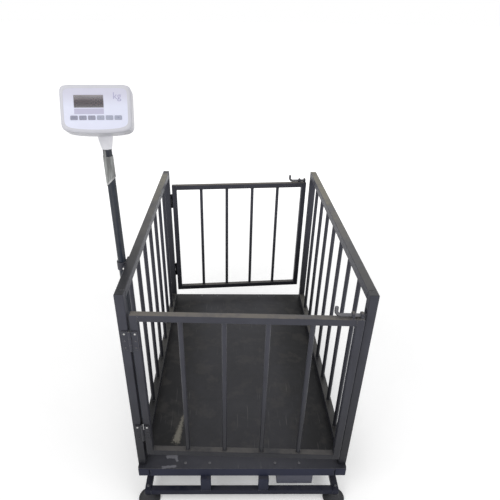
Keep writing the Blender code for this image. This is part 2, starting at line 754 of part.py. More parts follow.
def build_gate(name, end, ajar, root):
    """A barred gate on two hinges, with the eyes of its slide bolt on the top rail."""
    axis = Vector((HINGE_LINE, end * (HALF_LENGTH + HINGE_OUT), GATE_BOTTOM))
    swing = pivot(f"{name}_gate_swing", axis, root, end * ajar)
    at = Vector((0, gate_middle(end), GATE_BOTTOM + GATE_HEIGHT / 2))
    outer = (GATE_WIDTH, GATE_HEIGHT)
    gate = barred_frame(f"{name}_gate", outer, GATE_TUBE, GATE_WALL, GATE_BARS, "XZ", at, swing)
    eye_diameter = BOLT_DIAMETER + 2 * (BOLT_CLEARANCE + EYE_WALL)
    gate_end = GATE_WIDTH / 2
    for k in range(2):
        eye_at = Vector((gate_end - EYE_INSET - k * EYE_PITCH, at.y, BOLT_LEVEL))
        web_height = BOLT_RISE + WELD
        web_at = eye_at - Vector((0, 0, web_height / 2))
        join(gate, box((EYE_THICKNESS, eye_diameter - WELD, web_height)), web_at)
        join(gate, rod(eye_diameter, EYE_THICKNESS - WELD, "X"), eye_at)
    hole = rod(BOLT_DIAMETER + 2 * BOLT_CLEARANCE, 2 * EYE_PITCH + 2 * EYE_THICKNESS, "X", LARGE_SIDES)
    tool(gate, hole, Vector((gate_end - EYE_INSET - EYE_PITCH / 2, at.y, BOLT_LEVEL)))
    bolt_at = Vector((gate_end - BOLT_SETBACK, at.y, BOLT_LEVEL))
    part(f"{name}_gate_bolt", bolt_curve(f"{name}_gate_bolt"), bolt_at, swing, "black_paint")
    for suffix, level in (("upper", GATE_TOP - HINGE_DROP), ("lower", GATE_BOTTOM + HINGE_LIFT)):
        build_hinge(name, suffix, end, level, root, swing)


def build_mast(root):
    """An upright tube, held to the left panel's rails by two pipe clamps."""
    bottom = CAGE_BOTTOM + MAST_FOOT
    length = MAST_TOP - bottom
    at = Vector((MAST_LINE, MAST_PLACE, bottom + length / 2))
    mast = part("mast", rod(MAST_DIAMETER, length, "Z", LARGE_SIDES), at, root, "black_paint")
    tool(mast, rod(MAST_DIAMETER - 2 * MAST_WALL, 2 * length, "Z", LARGE_SIDES), at)
    clamp_levels = (("upper", CAGE_TOP - CAGE_TUBE / 2), ("lower", CAGE_BOTTOM + CAGE_TUBE / 2))
    for name, level in clamp_levels:
        axis = Vector((MAST_LINE, MAST_PLACE, level))
        collar = rod(MAST_DIAMETER + 2 * CLAMP_WALL, CAGE_TUBE, "Z", LARGE_SIDES)
        clamp = part(f"mast_clamp_{name}", collar, axis, root, "black_paint")
        rail_side = box((2 * CLAMP_WALL + MAST_STANDOFF, MAST_DIAMETER * 2, 2 * CAGE_TUBE))
        rail_cut = -HALF_WIDTH - SEAT + CLAMP_WALL + MAST_STANDOFF / 2
        tool(clamp, rail_side, Vector((rail_cut, MAST_PLACE, level)))
        flange_at = Vector((-HALF_WIDTH - SEAT - CLAMP_WALL / 2, MAST_PLACE, level))
        join(clamp, box((CLAMP_WALL, CLAMP_LENGTH, CAGE_TUBE - 2 * WELD), "X", BOX_ROUND), flange_at)
        bore = rod(MAST_DIAMETER + 2 * SEAT, 2 * CAGE_TUBE, "Z", LARGE_SIDES)
        tool(clamp, bore, axis)


def build_bracket(root):
    """A cast swivel: a spigot in the mast, a flared neck and a fork for the indicator's tongue."""
    swivel_at = Vector((MAST_LINE, MAST_PLACE, MAST_TOP))
    swivel = pivot("indicator_swivel", swivel_at, root, INDICATOR_TURN)
    spigot = MAST_DIAMETER / 2 - MAST_WALL - PIN_CLEARANCE
    collar = MAST_DIAMETER / 2 + NECK_LIP
    profile = [
        (0, NECK_HEIGHT),
        (collar + NECK_FLARE, NECK_HEIGHT),
        (collar + NECK_FLARE * 2 / 3, NECK_HEIGHT / 2),
        (collar, SEAT),
        (spigot, SEAT),
        (spigot, -SPIGOT_LENGTH),
        (0, -SPIGOT_LENGTH),
    ]
    bracket = part("indicator_bracket", turned(profile), swivel_at, swivel, "white_plastic")
    hinge = Vector((MAST_LINE, MAST_PLACE, PIVOT_LEVEL))
    post_height = PIVOT_RISE - NECK_HEIGHT + WELD
    post_at = hinge - Vector((0, 0, post_height / 2))
    join(bracket, box((FORK_WIDTH, FORK_DEPTH, post_height), "Z", BOX_ROUND), post_at)
    join(bracket, rod(FORK_DEPTH - WELD, FORK_WIDTH - WELD, "X", LARGE_SIDES), hinge)
    slot_floor = TONGUE_DEPTH / 2 + TONGUE_SWEEP
    slot = box((TONGUE_WIDTH + 2 * SEAT, 2 * FORK_DEPTH, 2 * slot_floor))
    tool(bracket, slot, hinge)
    hole = rod(TILT_BOLT_DIAMETER + 2 * PIN_CLEARANCE, 2 * FORK_WIDTH, "X")
    tool(bracket, hole, hinge)
    build_tilt_knob(hinge, swivel)
    return pivot("indicator_tilt", hinge, swivel, tilt=INDICATOR_TILT)


def build_tilt_knob(hinge, swivel):
    """The bolt through the fork, with a lobed knob at its left end and a nut at its right end."""
    turn = pivot("tilt_knob_turn", hinge, swivel)
    inner = FORK_WIDTH / 2 + SEAT
    knob_at = hinge - Vector((inner + KNOB_THICKNESS / 2, 0, 0))
    blank = rod(KNOB_DIAMETER, KNOB_THICKNESS, "X", LARGE_SIDES)
    knob = part("tilt_knob", blank, knob_at, turn, "knob_plastic")
    radius = KNOB_DIAMETER / 2 + KNOB_SCALLOP / 4
    scallops = []
    for k in range(KNOB_LOBES):
        angle = 2 * math.pi * (k + 0.5) / KNOB_LOBES
        scallops.append((0, radius * math.cos(angle), radius * math.sin(angle)))
    tool(knob, rods(scallops, KNOB_SCALLOP, 2 * KNOB_THICKNESS, "X", SMALL_SIDES), knob_at)
    bolt_end = inner + TILT_NUT_HEIGHT + WELD
    bolt_start = -inner - KNOB_THICKNESS / 2
    bolt_at = hinge + Vector(((bolt_start + bolt_end) / 2, 0, 0))
    join(knob, rod(TILT_BOLT_DIAMETER, bolt_end - bolt_start, "X"), bolt_at)
    nut_at = hinge + Vector((inner + TILT_NUT_HEIGHT / 2, 0, 0))
    join(knob, rod(TILT_NUT_ACROSS, TILT_NUT_HEIGHT, "X", HEX_SIDES), nut_at)


def housing_ring(inset, depth):
    """The housing's outline at one depth, bowed along its lower edge and drawn in by an inset."""
    points = []
    for k in range(HOUSING_POINTS):
        angle = 2 * math.pi * k / HOUSING_POINTS
        cosine, sine = math.cos(angle), math.sin(angle)
        across = math.copysign(abs(cosine) ** HOUSING_CROWDING, cosine)
        upward = math.copysign(abs(sine) ** HOUSING_CROWDING, sine)
        square = HOUSING_SQUARE_ABOVE if sine >= 0 else HOUSING_SQUARE_BELOW
        spread_out = (abs(across) ** square + abs(upward) ** square) ** (-1 / square)
        across *= spread_out
        upward *= spread_out
        reach = HOUSING_ABOVE if sine >= 0 else HOUSING_BELOW * (1 - HOUSING_BOW * across * across)
        points.append(Vector((across * (HOUSING_WIDTH / 2 - inset), depth, upward * (reach - inset))))
    return points


def housing_skin(depth, radius, inset, direction, overlap=0.0):
    """One half of the housing, from the parting plane out to its rounded face, drawn in by an inset."""
    rings = [housing_ring(inset, -direction * overlap)]
    for k in range(ROUND_STEPS + 1):
        angle = math.pi / 2 * k / ROUND_STEPS
        drawn = inset + radius * (1 - math.cos(angle))
        rings.append(housing_ring(drawn, direction * (depth - radius * (1 - math.sin(angle)))))
    return lofted(rings)


def key_places():
    return [MAST_LINE + x for x in spread(KEYS, KEY_PITCH)]


def window_middle(depth):
    return Vector((MAST_LINE - WINDOW_LEFT, depth, PIVOT_LEVEL + WINDOW_RISE))


def build_front_shell(tilt):
    """The moulded face: a recessed panel with openings for the window and the keys, and bosses inside."""
    at = Vector((MAST_LINE, PARTING, PIVOT_LEVEL))
    skin = housing_skin(FRONT_DEPTH, FRONT_ROUND, 0, -1)
    shell = part("indicator_front_shell", skin, at, tilt, "white_plastic")
    inner_depth = PARTING - FRONT_INSIDE
    tool(shell, housing_skin(inner_depth, FRONT_ROUND, HOUSING_WALL, -1, HOUSING_WALL), at)
    panel = [housing_ring(PANEL_INSET, y) for y in (-PANEL_RECESS, PANEL_RECESS)]
    tool(shell, lofted(panel), Vector((MAST_LINE, FRONT_FACE, PIVOT_LEVEL)))
    window_at = window_middle(PANEL_FACE)
    rebate_depth = WINDOW_THICKNESS + SEAT
    tool(shell, box((WINDOW_WIDTH, 2 * rebate_depth, WINDOW_HEIGHT)), window_at)
    opening = (WINDOW_WIDTH - 2 * WINDOW_LEDGE, 4 * HOUSING_WALL, WINDOW_HEIGHT - 2 * WINDOW_LEDGE)
    tool(shell, box(opening), window_at)
    key_holes = bmesh.new()
    for x in spread(KEYS, KEY_PITCH):
        hole = (KEY_WIDTH + 2 * SEAT, 4 * HOUSING_WALL, KEY_HEIGHT + 2 * SEAT)
        add_box(key_holes, hole, (x, 0, 0), "Y", KEY_ROUND)
    tool(shell, mesh_of(key_holes), Vector((MAST_LINE, PANEL_FACE, PIVOT_LEVEL - KEY_DROP)))
    boss_length = BOARD_FRONT - FRONT_INSIDE + WELD
    boss_depth = BOARD_FRONT - boss_length / 2
    display_boss = (WINDOW_WIDTH + BOSS_DIAMETER + WELD) / 2
    boss_lines = (
        (display_boss, window_middle(boss_depth)),
        (MAIN_BOSS_PITCH / 2, Vector((MAST_LINE, boss_depth, PIVOT_LEVEL - MAIN_BOSS_DROP))),
    )
    for reach, line_at in boss_lines:
        places = [(-reach, 0, 0), (reach, 0, 0)]
        join(shell, rods(places, BOSS_DIAMETER, boss_length, "Y", SMALL_SIDES), line_at)


def build_rear_shell(tilt):
    """The moulded back, with the tongue that the fork holds."""
    at = Vector((MAST_LINE, PARTING + SEAT, PIVOT_LEVEL))
    depth = REAR_DEPTH - SEAT
    shell = part("indicator_rear_shell", housing_skin(depth, REAR_ROUND, 0, 1), at, tilt, "white_plastic")
    tool(shell, housing_skin(depth - HOUSING_WALL, REAR_ROUND, HOUSING_WALL, 1, HOUSING_WALL), at)
    hinge = Vector((MAST_LINE, MAST_PLACE, PIVOT_LEVEL))
    arm_length = HOUSING_STANDOFF + WELD
    arm_at = hinge - Vector((0, arm_length / 2, 0))
    join(shell, box((TONGUE_WIDTH, arm_length, TONGUE_DEPTH)), arm_at)
    join(shell, rod(TONGUE_DEPTH - WELD / 2, TONGUE_WIDTH - WELD, "X", LARGE_SIDES), hinge)
    tool(shell, rod(TILT_BOLT_DIAMETER + 2 * PIN_CLEARANCE, 2 * TONGUE_WIDTH, "X"), hinge)


def build_display(tilt):
    """The window in its rebate, and the digits on their own board behind it."""
    pane = (WINDOW_WIDTH - 2 * SEAT, WINDOW_THICKNESS, WINDOW_HEIGHT - 2 * SEAT)
    part("display_window", box(pane), window_middle(PANEL_FACE + WINDOW_THICKNESS / 2), tilt, "dark_window")
    board_depth = BOARD_FRONT + SEAT + BOARD_THICKNESS / 2
    board_width = WINDOW_WIDTH + 2 * DISPLAY_BOARD_MARGIN
    board = box((board_width, BOARD_THICKNESS, WINDOW_HEIGHT))
    module = part("display_module", board, window_middle(board_depth), tilt, "circuit_board")
    digit_front = FRONT_INSIDE + SEAT
    digit_depth = BOARD_FRONT + SEAT + WELD - digit_front
    digits = (WINDOW_WIDTH - 2 * DIGIT_MARGIN, digit_depth, WINDOW_HEIGHT - 2 * DIGIT_MARGIN)
    join(module, box(digits), window_middle(digit_front + digit_depth / 2))


def build_main_board(tilt):
    """The board under the display, with a switch behind each key."""
    depth = BOARD_FRONT + SEAT + BOARD_THICKNESS / 2
    at = Vector((MAST_LINE, depth, PIVOT_LEVEL - MAIN_BOARD_DROP))
    size = (MAIN_BOARD_WIDTH, BOARD_THICKNESS, MAIN_BOARD_HEIGHT)
    board = part("main_board", box(size), at, tilt, "circuit_board")
    switches = bmesh.new()
    for x in spread(KEYS, KEY_PITCH):
        add_box(switches, (KEY_STEM, SWITCH_HEIGHT + WELD, KEY_STEM), (x, 0, 0))
    switch_depth = BOARD_FRONT + SEAT + WELD - (SWITCH_HEIGHT + WELD) / 2
    join(board, mesh_of(switches), Vector((MAST_LINE, switch_depth, PIVOT_LEVEL - KEY_DROP)))


def build_battery(tilt):
    """The rechargeable battery against the back of the rear shell."""
    back = PARTING + REAR_DEPTH - HOUSING_WALL - SEAT
    at = Vector((MAST_LINE, back - BATTERY_DEPTH / 2, PIVOT_LEVEL - BATTERY_DROP))
    size = (BATTERY_WIDTH, BATTERY_DEPTH, BATTERY_HEIGHT)
    part("battery", box(size, "X", BATTERY_ROUND), at, tilt, "battery_case")


def build_keys(tilt):
    """Caps that slide in the face, each with a flange behind the wall and a stem to its switch."""
    cap_front = PANEL_FACE - KEY_PROUD
    flange_front = FRONT_INSIDE + SEAT
    cap_length = flange_front + WELD / 2 - cap_front
    stem_end = BOARD_FRONT + SEAT - SWITCH_HEIGHT - KEY_TRAVEL - SEAT
    stem_start = flange_front + WELD / 2
    level = PIVOT_LEVEL - KEY_DROP
    for number, x in enumerate(key_places(), 1):
        cap_at = Vector((x, cap_front + cap_length / 2, level))
        cap = box((KEY_WIDTH, cap_length, KEY_HEIGHT), "Y", KEY_ROUND)
        key = part(f"key_{number}", cap, cap_at, tilt, "key_plastic")
        flange = (KEY_WIDTH + 2 * KEY_FLANGE, KEY_FLANGE_THICKNESS, KEY_HEIGHT + 2 * KEY_FLANGE)
        join(key, box(flange), Vector((x, flange_front + KEY_FLANGE_THICKNESS / 2, level)))
        stem_length = stem_end - stem_start
        stem_at = Vector((x, stem_start + stem_length / 2, level))
        join(key, box((KEY_STEM, stem_length, KEY_STEM)), stem_at)


def stand_on_origin(root):
    """Moves the whole so that the middle of its footprint is the origin."""
    bpy.context.view_layer.update()
    graph = bpy.context.evaluated_depsgraph_get()
    corners = []
    for obj in PARTS.objects:
        if obj.type == "EMPTY":
            continue
        evaluated = obj.evaluated_get(graph)
        mesh = evaluated.to_mesh()
        corners += [evaluated.matrix_world @ vertex.co for vertex in mesh.vertices]
        evaluated.to_mesh_clear()
    low = [min(corner[k] for corner in corners) for k in range(3)]
    high = [max(corner[k] for corner in corners) for k in range(3)]
    root.location = (-(low[0] + high[0]) / 2, -(low[1] + high[1]) / 2, -low[2])


def build():
    root = pivot(f"{OBJECT_NAME}_root", Vector((0, 0, 0)), None)
    build_base(root)
    build_feet(root)
    build_load_cells(root)
    build_platform(root)
    build_junction_box(root)
    build_side_panels(root)
    build_gate("front", -1, FRONT_AJAR, root)
    build_gate("rear", 1, REAR_AJAR, root)
    build_mast(root)
    tilt = build_bracket(root)
    build_front_shell(tilt)
    build_rear_shell(tilt)
    build_display(tilt)
    build_main_board(tilt)
    build_battery(tilt)
    build_keys(tilt)
    stand_on_origin(root)


build()
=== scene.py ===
"""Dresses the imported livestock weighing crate: painted tube, worn steel, rubber and moulded plastic.

Metres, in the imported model's own frame: +Z up, +X to the right of someone who faces the front gate.
"""

import contextlib
import json
import math

import bmesh
import bpy
from bpy.props import FloatProperty, FloatVectorProperty, PointerProperty
from bpy.types import Operator, Panel, PropertyGroup
from mathutils import Matrix, Vector


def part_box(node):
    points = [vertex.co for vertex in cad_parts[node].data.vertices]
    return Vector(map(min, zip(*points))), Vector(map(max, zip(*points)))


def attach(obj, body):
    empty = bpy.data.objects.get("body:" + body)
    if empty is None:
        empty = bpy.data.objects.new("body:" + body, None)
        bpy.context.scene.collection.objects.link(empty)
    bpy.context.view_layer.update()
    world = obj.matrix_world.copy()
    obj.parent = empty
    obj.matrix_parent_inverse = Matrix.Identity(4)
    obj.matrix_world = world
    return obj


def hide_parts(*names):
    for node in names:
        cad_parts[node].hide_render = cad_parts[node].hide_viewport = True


bl_info = {
    "name": "Livestock Weigh Crate",
    "version": (1, 0, 0),
    "blender": (4, 5, 0),
    "location": "View3D > Sidebar > Weigh Crate",
    "description": "Dresses a packed livestock weighing crate",
    "category": "Object",
}

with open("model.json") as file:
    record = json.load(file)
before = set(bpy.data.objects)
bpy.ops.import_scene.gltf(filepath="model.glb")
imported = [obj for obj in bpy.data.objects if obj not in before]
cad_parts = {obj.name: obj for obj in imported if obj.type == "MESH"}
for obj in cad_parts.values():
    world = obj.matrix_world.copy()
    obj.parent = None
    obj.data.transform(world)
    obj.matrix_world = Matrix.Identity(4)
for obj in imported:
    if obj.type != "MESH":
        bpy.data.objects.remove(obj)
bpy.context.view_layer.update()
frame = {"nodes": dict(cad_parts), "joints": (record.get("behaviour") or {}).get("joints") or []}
NODES = frame["nodes"]
JOINTS = {joint["name"]: joint for joint in frame["joints"]}
ENDS, SIDES, LEVELS = ("front", "rear"), ("left", "right"), ("upper", "lower")
CORNERS = [f"{end}_{side}" for end in ENDS for side in SIDES]
SMOOTH_ANGLE = math.radians(38)
QUARTER = math.pi / 2
X, Y, Z = Vector((1, 0, 0)), Vector((0, 1, 0)), Vector((0, 0, 1))
LYING = Matrix.Rotation(QUARTER, 4, "X")


def length(name, default, description):
    return FloatProperty(name=name, description=description, default=default, min=0.0, unit="LENGTH")


def colour(name, default, description):
    return FloatVectorProperty(
        name=name, description=description, default=default, size=3, min=0.0, max=1.0, subtype="COLOR"
    )


class CrateSizes(PropertyGroup):
    """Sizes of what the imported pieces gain."""

    tube_round: length("Tube Rounding", 0.003, "Radius along the edges of the square tubes")
    platform_tube: length("Platform Tube", 0.040, "Height of the platform's square tube")
    base_tube: length("Base Tube", 0.025, "Height of the base's square tube")
    cell_seat: length("Cell Seat", 0.080, "Length of a load cell's end that is bolted to the platform")
    leaf_height: length("Leaf Height", 0.075, "Height of a hinge leaf")
    bar_diameter: length("Bar Diameter", 0.016, "Diameter of the upright bars")
    bead: length("Weld Bead", 0.0019, "Radius of a weld bead")
    gate_tube: length("Gate Tube", 0.025, "Side of the gates' square tube")
    gate_gap: length("Gate Gap", 0.008, "Gap between a shut gate and a post")
    gate_inset: length("Gate Inset", 0.0178, "From a hinge axis in to the middle of the gate")
    bolt_diameter: length("Bolt Diameter", 0.012, "Diameter of the slide bolts")
    bolt_rise: length("Bolt Rise", 0.010, "From a gate's top rail up to its slide bolt")
    bolt_length: length("Bolt Length", 0.086, "Length of a slide bolt along the gate")
    bolt_handle: length("Bolt Handle", 0.030, "Height of a slide bolt's handle")
    bolt_bend: length("Bolt Bend", 0.016, "Radius of a slide bolt's bend")
    eye_diameter: length("Eye Diameter", 0.024, "Outside of a slide bolt's eye")
    keeper_hole: length("Keeper Hole", 0.0196, "Hole in a post that a slide bolt goes into")
    stud_pitch: length("Stud Pitch", 0.00175, "Pitch of the foot studs' thread")
    digit_height: length("Digit Height", 0.0165, "Height of a digit of the display")


class CrateColours(PropertyGroup):
    """Colours of the finishes, as linear values."""

    paint: colour("Paint", (0.046, 0.047, 0.061), "Satin black paint of the cage")
    # The low paint's blue tint is partly a painted bluish shade low down.
    low_paint: colour("Low Paint", (0.022, 0.0245, 0.045), "Flat black paint of base and platform")
    bare: colour("Bare Steel", (0.36, 0.35, 0.34), "Steel where the paint has gone")
    mast: colour("Mast", (0.021, 0.028, 0.042), "Glossy black paint of the mast")
    dust: colour("Dust", (0.155, 0.143, 0.130), "Dust on what faces up")
    chalk: colour("Chalk", (0.225, 0.213, 0.180), "Dried chalky dirt on the top rails")
    deck: colour("Deck", (0.0212, 0.0212, 0.0248), "Dark steel of the deck")
    # The next colour paints a streak of sunlight on the deck.
    scrape: colour("Scrape", (0.185, 0.174, 0.145), "Long bare scrape on the deck")
    rub: colour("Rub", (0.150, 0.150, 0.168), "Rubbed marks at the deck's front edge")
    film: colour("Mast Film", (0.243, 0.250, 0.247), "Film round the top of the mast")
    band: colour("Mast Band", (0.42, 0.42, 0.42), "Tape at the film's end")
    zinc: colour("Zinc", (0.55, 0.55, 0.54), "Plated fasteners and studs")
    dull_zinc: colour("Dull Zinc", (0.13, 0.13, 0.14), "Weathered plating of screws and slide bolts")
    nickel: colour("Nickel", (0.34, 0.33, 0.31), "Weathered plating of the load cells")
    # The rubber's blue tint is painted bluish shade from under the platform.
    rubber: colour("Rubber", (0.050, 0.057, 0.092), "Rubber of the feet")
    housing: colour("Housing", (0.60, 0.60, 0.65), "White plastic of the indicator")
    # Painted light: the bracket's white is paler than the housing's, to brighten it where the housing
    # shades it.
    neck: colour("Neck", (0.92, 0.92, 0.97), "White plastic of the swivel bracket")
    face: colour("Face", (0.74, 0.76, 0.90), "Printed film on the indicator's face")
    # The greyer top of the face is painted shade.
    face_top: colour("Face Top", (0.62, 0.615, 0.73), "Printed film towards the top of the face")
    strip: colour("Strip", (0.50, 0.487, 0.63), "Printed strip under the window")
    window: colour("Window", (0.118, 0.112, 0.130), "Smoked pane")
    # The window's paler top and foot are a painted sheen.
    window_edge: colour("Window Edge", (0.50, 0.47, 0.49), "Smoked pane towards its top and foot")
    digits: colour("Digits", (0.50, 0.27, 0.25), "Strokes of the display")
    keys: colour("Keys", (0.37, 0.39, 0.49), "Right-hand key caps")
    dark_keys: colour("Dark Keys", (0.29, 0.295, 0.38), "Left-hand key caps")
    print_ink: colour("Key Ink", (0.16, 0.17, 0.26), "Ink of the key legends")
    unit_ink: colour("Unit Ink", (0.40, 0.38, 0.56), "Ink of the unit beside the window")
    box: colour("Junction Box", (0.058, 0.060, 0.084), "Grey plastic of the junction box")
    knob: colour("Knob", (0.022, 0.022, 0.025), "Black plastic of the tilt knob")
    stain: colour("Stain", (0.16, 0.15, 0.14), "Dark stains on plating")
    soil: colour("Soil", (0.30, 0.28, 0.25), "Soiled places on moulded plastic")
    board: colour("Board", (0.02, 0.10, 0.045), "Solder mask of the circuit boards")
    track: colour("Track", (0.06, 0.22, 0.08), "Solder mask over a copper track")
    tin: colour("Tin", (0.55, 0.54, 0.50), "Tinned pads of the circuit boards")
    case: colour("Case", (0.05, 0.05, 0.055), "Case of the battery and of the display module")
    scuff: colour("Scuff", (0.2, 0.2, 0.2), "Scuffs on that case")
    floor: colour("Floor", (0.86, 0.86, 0.86), "Floor")


# Modelling


def only(*objects):
    """Selects these objects and nothing else. The first one is active."""
    bpy.ops.object.select_all(action="DESELECT")
    for obj in objects:
        obj.select_set(True)
    bpy.context.view_layer.objects.active = objects[0]


def begin(shape, place=(0, 0, 0), scale=(1, 1, 1), turn=(0, 0, 0), **settings):
    """Adds a primitive at its size and place, and puts both into its mesh."""
    bpy.ops.object.select_all(action="DESELECT")
    getattr(bpy.ops.mesh, f"primitive_{shape}_add")(location=place, rotation=turn, **settings)
    obj = bpy.context.active_object
    obj.scale = scale
    bpy.ops.object.transform_apply(location=True, rotation=True, scale=True)
    return obj


def moved(obj, matrix):
    """Moves an object by a matrix, in its mesh."""
    only(obj)
    obj.matrix_world = matrix
    bpy.ops.object.transform_apply(location=True, rotation=True, scale=True)
    return obj


def spare(obj):
    """Removes a pattern or a tool that has done its work."""
    bpy.data.objects.remove(obj)


def copied(obj, matrix):
    """A copy with its own mesh, moved by a matrix."""
    only(obj)
    bpy.ops.object.duplicate()
    return moved(bpy.context.active_object, matrix)


def repeated(pattern, matrices):
    """Copies of a pattern, which is then removed."""
    copies = [copied(pattern, matrix) for matrix in matrices]
    spare(pattern)
    return copies


def joined(objects):
    """One object from several."""
    if len(objects) > 1:
        only(*objects)
        bpy.ops.object.join()
    return objects[0]


def at(*place):
    return Matrix.Translation(place)


def facing(*direction):
    """Turns what stands along Z so that it stands along a direction."""
    return Z.rotation_difference(Vector(direction)).to_matrix().to_4x4()


@contextlib.contextmanager
def editing(obj, kind="FACE"):
    """Edit mode on one object, with its faces, edges or points to select."""
    only(obj)
    bpy.ops.object.mode_set(mode="EDIT")
    bpy.ops.mesh.select_mode(type=kind)
    yield
    bpy.ops.object.mode_set(mode="OBJECT")


def pick(kind, test):
    """Selects the faces, edges or verts of the object in edit mode that pass a test."""
    bpy.ops.mesh.select_all(action="DESELECT")
    mesh = bpy.context.edit_object.data
    shape = bmesh.from_edit_mesh(mesh)
    shape.normal_update()
    for item in getattr(shape, kind):
        if test(item):
            item.select_set(True)
    shape.select_flush_mode()
    bmesh.update_edit_mesh(mesh)


def pick_all():
    """Selects all of the object in edit mode."""
    bpy.ops.mesh.select_all(action="SELECT")


def extrude(*step):
    """Extrudes what is selected in edit mode."""
    bpy.ops.mesh.extrude_region_move(TRANSFORM_OT_translate={"value": step})


def swell(value, centre=(0, 0, 0)):
    """Scales what is selected in edit mode about a point."""
    bpy.ops.transform.resize(value=value, center_override=centre)


def face_out():
    """Points the faces of the object in edit mode outwards."""
    pick_all()
    bpy.ops.mesh.normals_make_consistent(inside=False)


def modified(obj, kind, **settings):
    """Adds a modifier and applies it."""
    only(obj)
    modifier = obj.modifiers.new(kind, kind)
    for name, value in settings.items():
        setattr(modifier, name, value)
    bpy.ops.object.modifier_apply(modifier=modifier.name)
    return obj


def rounded(obj, radius, segments=2, angle=40.0):
    """Rounds every edge that is sharper than an angle."""
    limit = math.radians(angle)
    return modified(
        obj, "BEVEL", width=radius, segments=segments, limit_method="ANGLE", angle_limit=limit
    )


def bevelled(obj, test, offset, segments):
    """Bevels the edges whose two ends pass a test."""
    with editing(obj, "EDGE"):
        pick("edges", lambda edge: test(*(vert.co for vert in edge.verts)))
        bpy.ops.mesh.bevel(offset=offset, segments=segments)
    return obj


def bored(obj, axis, wall):
    """Opens an object from end to end along an axis, and leaves a wall."""
    with editing(obj):
        pick("faces", lambda face: abs(face.normal[axis]) > 0.9)
        bpy.ops.mesh.inset(thickness=wall)
        bpy.ops.mesh.bridge_edge_loops()
    return obj


def thickened(obj, *step):
    """Gives a flat shape its thickness."""
    with editing(obj):
        pick_all()
        extrude(*step)
        face_out()
    return obj


def cut_out(obj, tool):
    """Cuts a tool's shape out of an object."""
    modified(obj, "BOOLEAN", operation="DIFFERENCE", solver="EXACT", object=tool)
    spare(tool)
    return obj


def cuboid(low, high):
    """A square block between two corners, to be shaped."""
    low, high = Vector(low), Vector(high)
    return begin("cube", (low + high) / 2, high - low, size=1)


def block(low, high, radius, segments=3):
    """A block between two corners with rounded edges."""
    return rounded(cuboid(low, high), radius, segments)


def plate(low, high, axis, corner, segments, edge):
    """A plate that is thin along an axis, with its corners cut round and its edges eased."""
    obj = cuboid(low, high)
    bevelled(obj, lambda one, other: abs(one[axis] - other[axis]) > 1e-4, corner, segments)
    return rounded(obj, edge)


def turned(profile, sides=48):
    """A round piece about Z from (radius, height) points, made ring by ring from a disc."""
    radius, height = profile[0]
    obj = begin("circle", (0, 0, height), vertices=sides, radius=radius, fill_type="NGON")
    with editing(obj):
        pick_all()
        for (before, low), (after, high) in zip(profile, profile[1:]):
            extrude(0, 0, high - low)
            swell((after / before, after / before, 1), (0, 0, high))
        face_out()
    return obj


def weld_seam(run):
    """A rippled bead of weld along Z about the origin."""
    radius = sizes().bead
    bead = begin("cylinder", vertices=8, radius=radius, depth=run)
    cuts = 2 * max(2, round(run / (1.6 * radius) / 2)) - 1
    step = run / (cuts + 1)
    with editing(bead, "EDGE"):
        pick("edges", lambda edge: abs(edge.verts[0].co.z - edge.verts[1].co.z) > run / 2)
        bpy.ops.mesh.subdivide(number_cuts=cuts)
        bpy.ops.mesh.select_mode(type="VERT")
        pick("verts", lambda vert: round((vert.co.z + run / 2) / step) % 2)
        swell((1.3, 1.3, 1))
    return bead


def weld_ring(diameter):
    """A rippled bead of weld round a bar."""
    columns, radius = 28, sizes().bead
    ring = begin(
        "torus",
        major_radius=diameter / 2 + radius / 4,
        minor_radius=radius,
        major_segments=columns,
        minor_segments=8,
    )
    with editing(ring, "VERT"):
        pick("verts", lambda vert: round(math.atan2(vert.co.y, vert.co.x) * columns / math.tau) % 2)
        swell((1.02, 1.02, 1.35))
    return ring


def puck(sides, radius, height):
    """A short cylinder that stands on the origin, to be shaped."""
    return begin("cylinder", (0, 0, height / 2), vertices=sides, radius=radius, depth=height)


def hex_head(across, height):
    """A hexagon head or nut that stands on the origin."""
    head = puck(6, across / math.sqrt(3), height)
    return bevelled(head, lambda one, other: min(one.z, other.z) > 0.9 * height, 0.1 * height, 2)


def hex_bolt(across, height):
    """A hexagon head on its washer."""
    thickness = 0.2 * height
    washer = rounded(puck(24, 1.75 * across / 2, thickness), 0.3 * thickness)
    return joined([moved(hex_head(across, height), at(0, 0, thickness)), washer])


def screw_head(diameter, height):
    """A domed head with a hexagon socket, which stands on the origin."""
    head = puck(24, diameter / 2, height)
    bevelled(head, lambda one, other: min(one.z, other.z) > 0.9 * height, 0.5 * height, 3)
    socket = begin("cylinder", (0, 0, height), vertices=6, radius=0.28 * diameter, depth=1.1 * height)
    return cut_out(head, socket)


def lettering(words, height, place, depth):
    """Raised letters on a face that looks towards the front."""
    bpy.ops.object.select_all(action="DESELECT")
    bpy.ops.object.text_add()
    text = bpy.context.active_object.data
    text.body = words
    text.size = height
    text.extrude = depth
    text.align_x = "CENTER"
    text.align_y = "CENTER"
    bpy.ops.object.convert(target="MESH")
    return moved(bpy.context.active_object, at(*place) @ LYING)


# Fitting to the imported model


def middle(node):
    """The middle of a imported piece's box."""
    low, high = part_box(node)
    return (low + high) / 2


def refined(node, radius):
    """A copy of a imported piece, its triangles merged into faces and its edges rounded."""
    obj = bpy.data.objects.new(f"{node}_copy", NODES[node].data.copy())
    bpy.context.scene.collection.objects.link(obj)
    with editing(obj):
        pick_all()
        bpy.ops.mesh.remove_doubles(threshold=1e-5)
        bpy.ops.mesh.dissolve_limited(angle_limit=math.radians(1.0))
    return rounded(obj, radius) if radius else obj


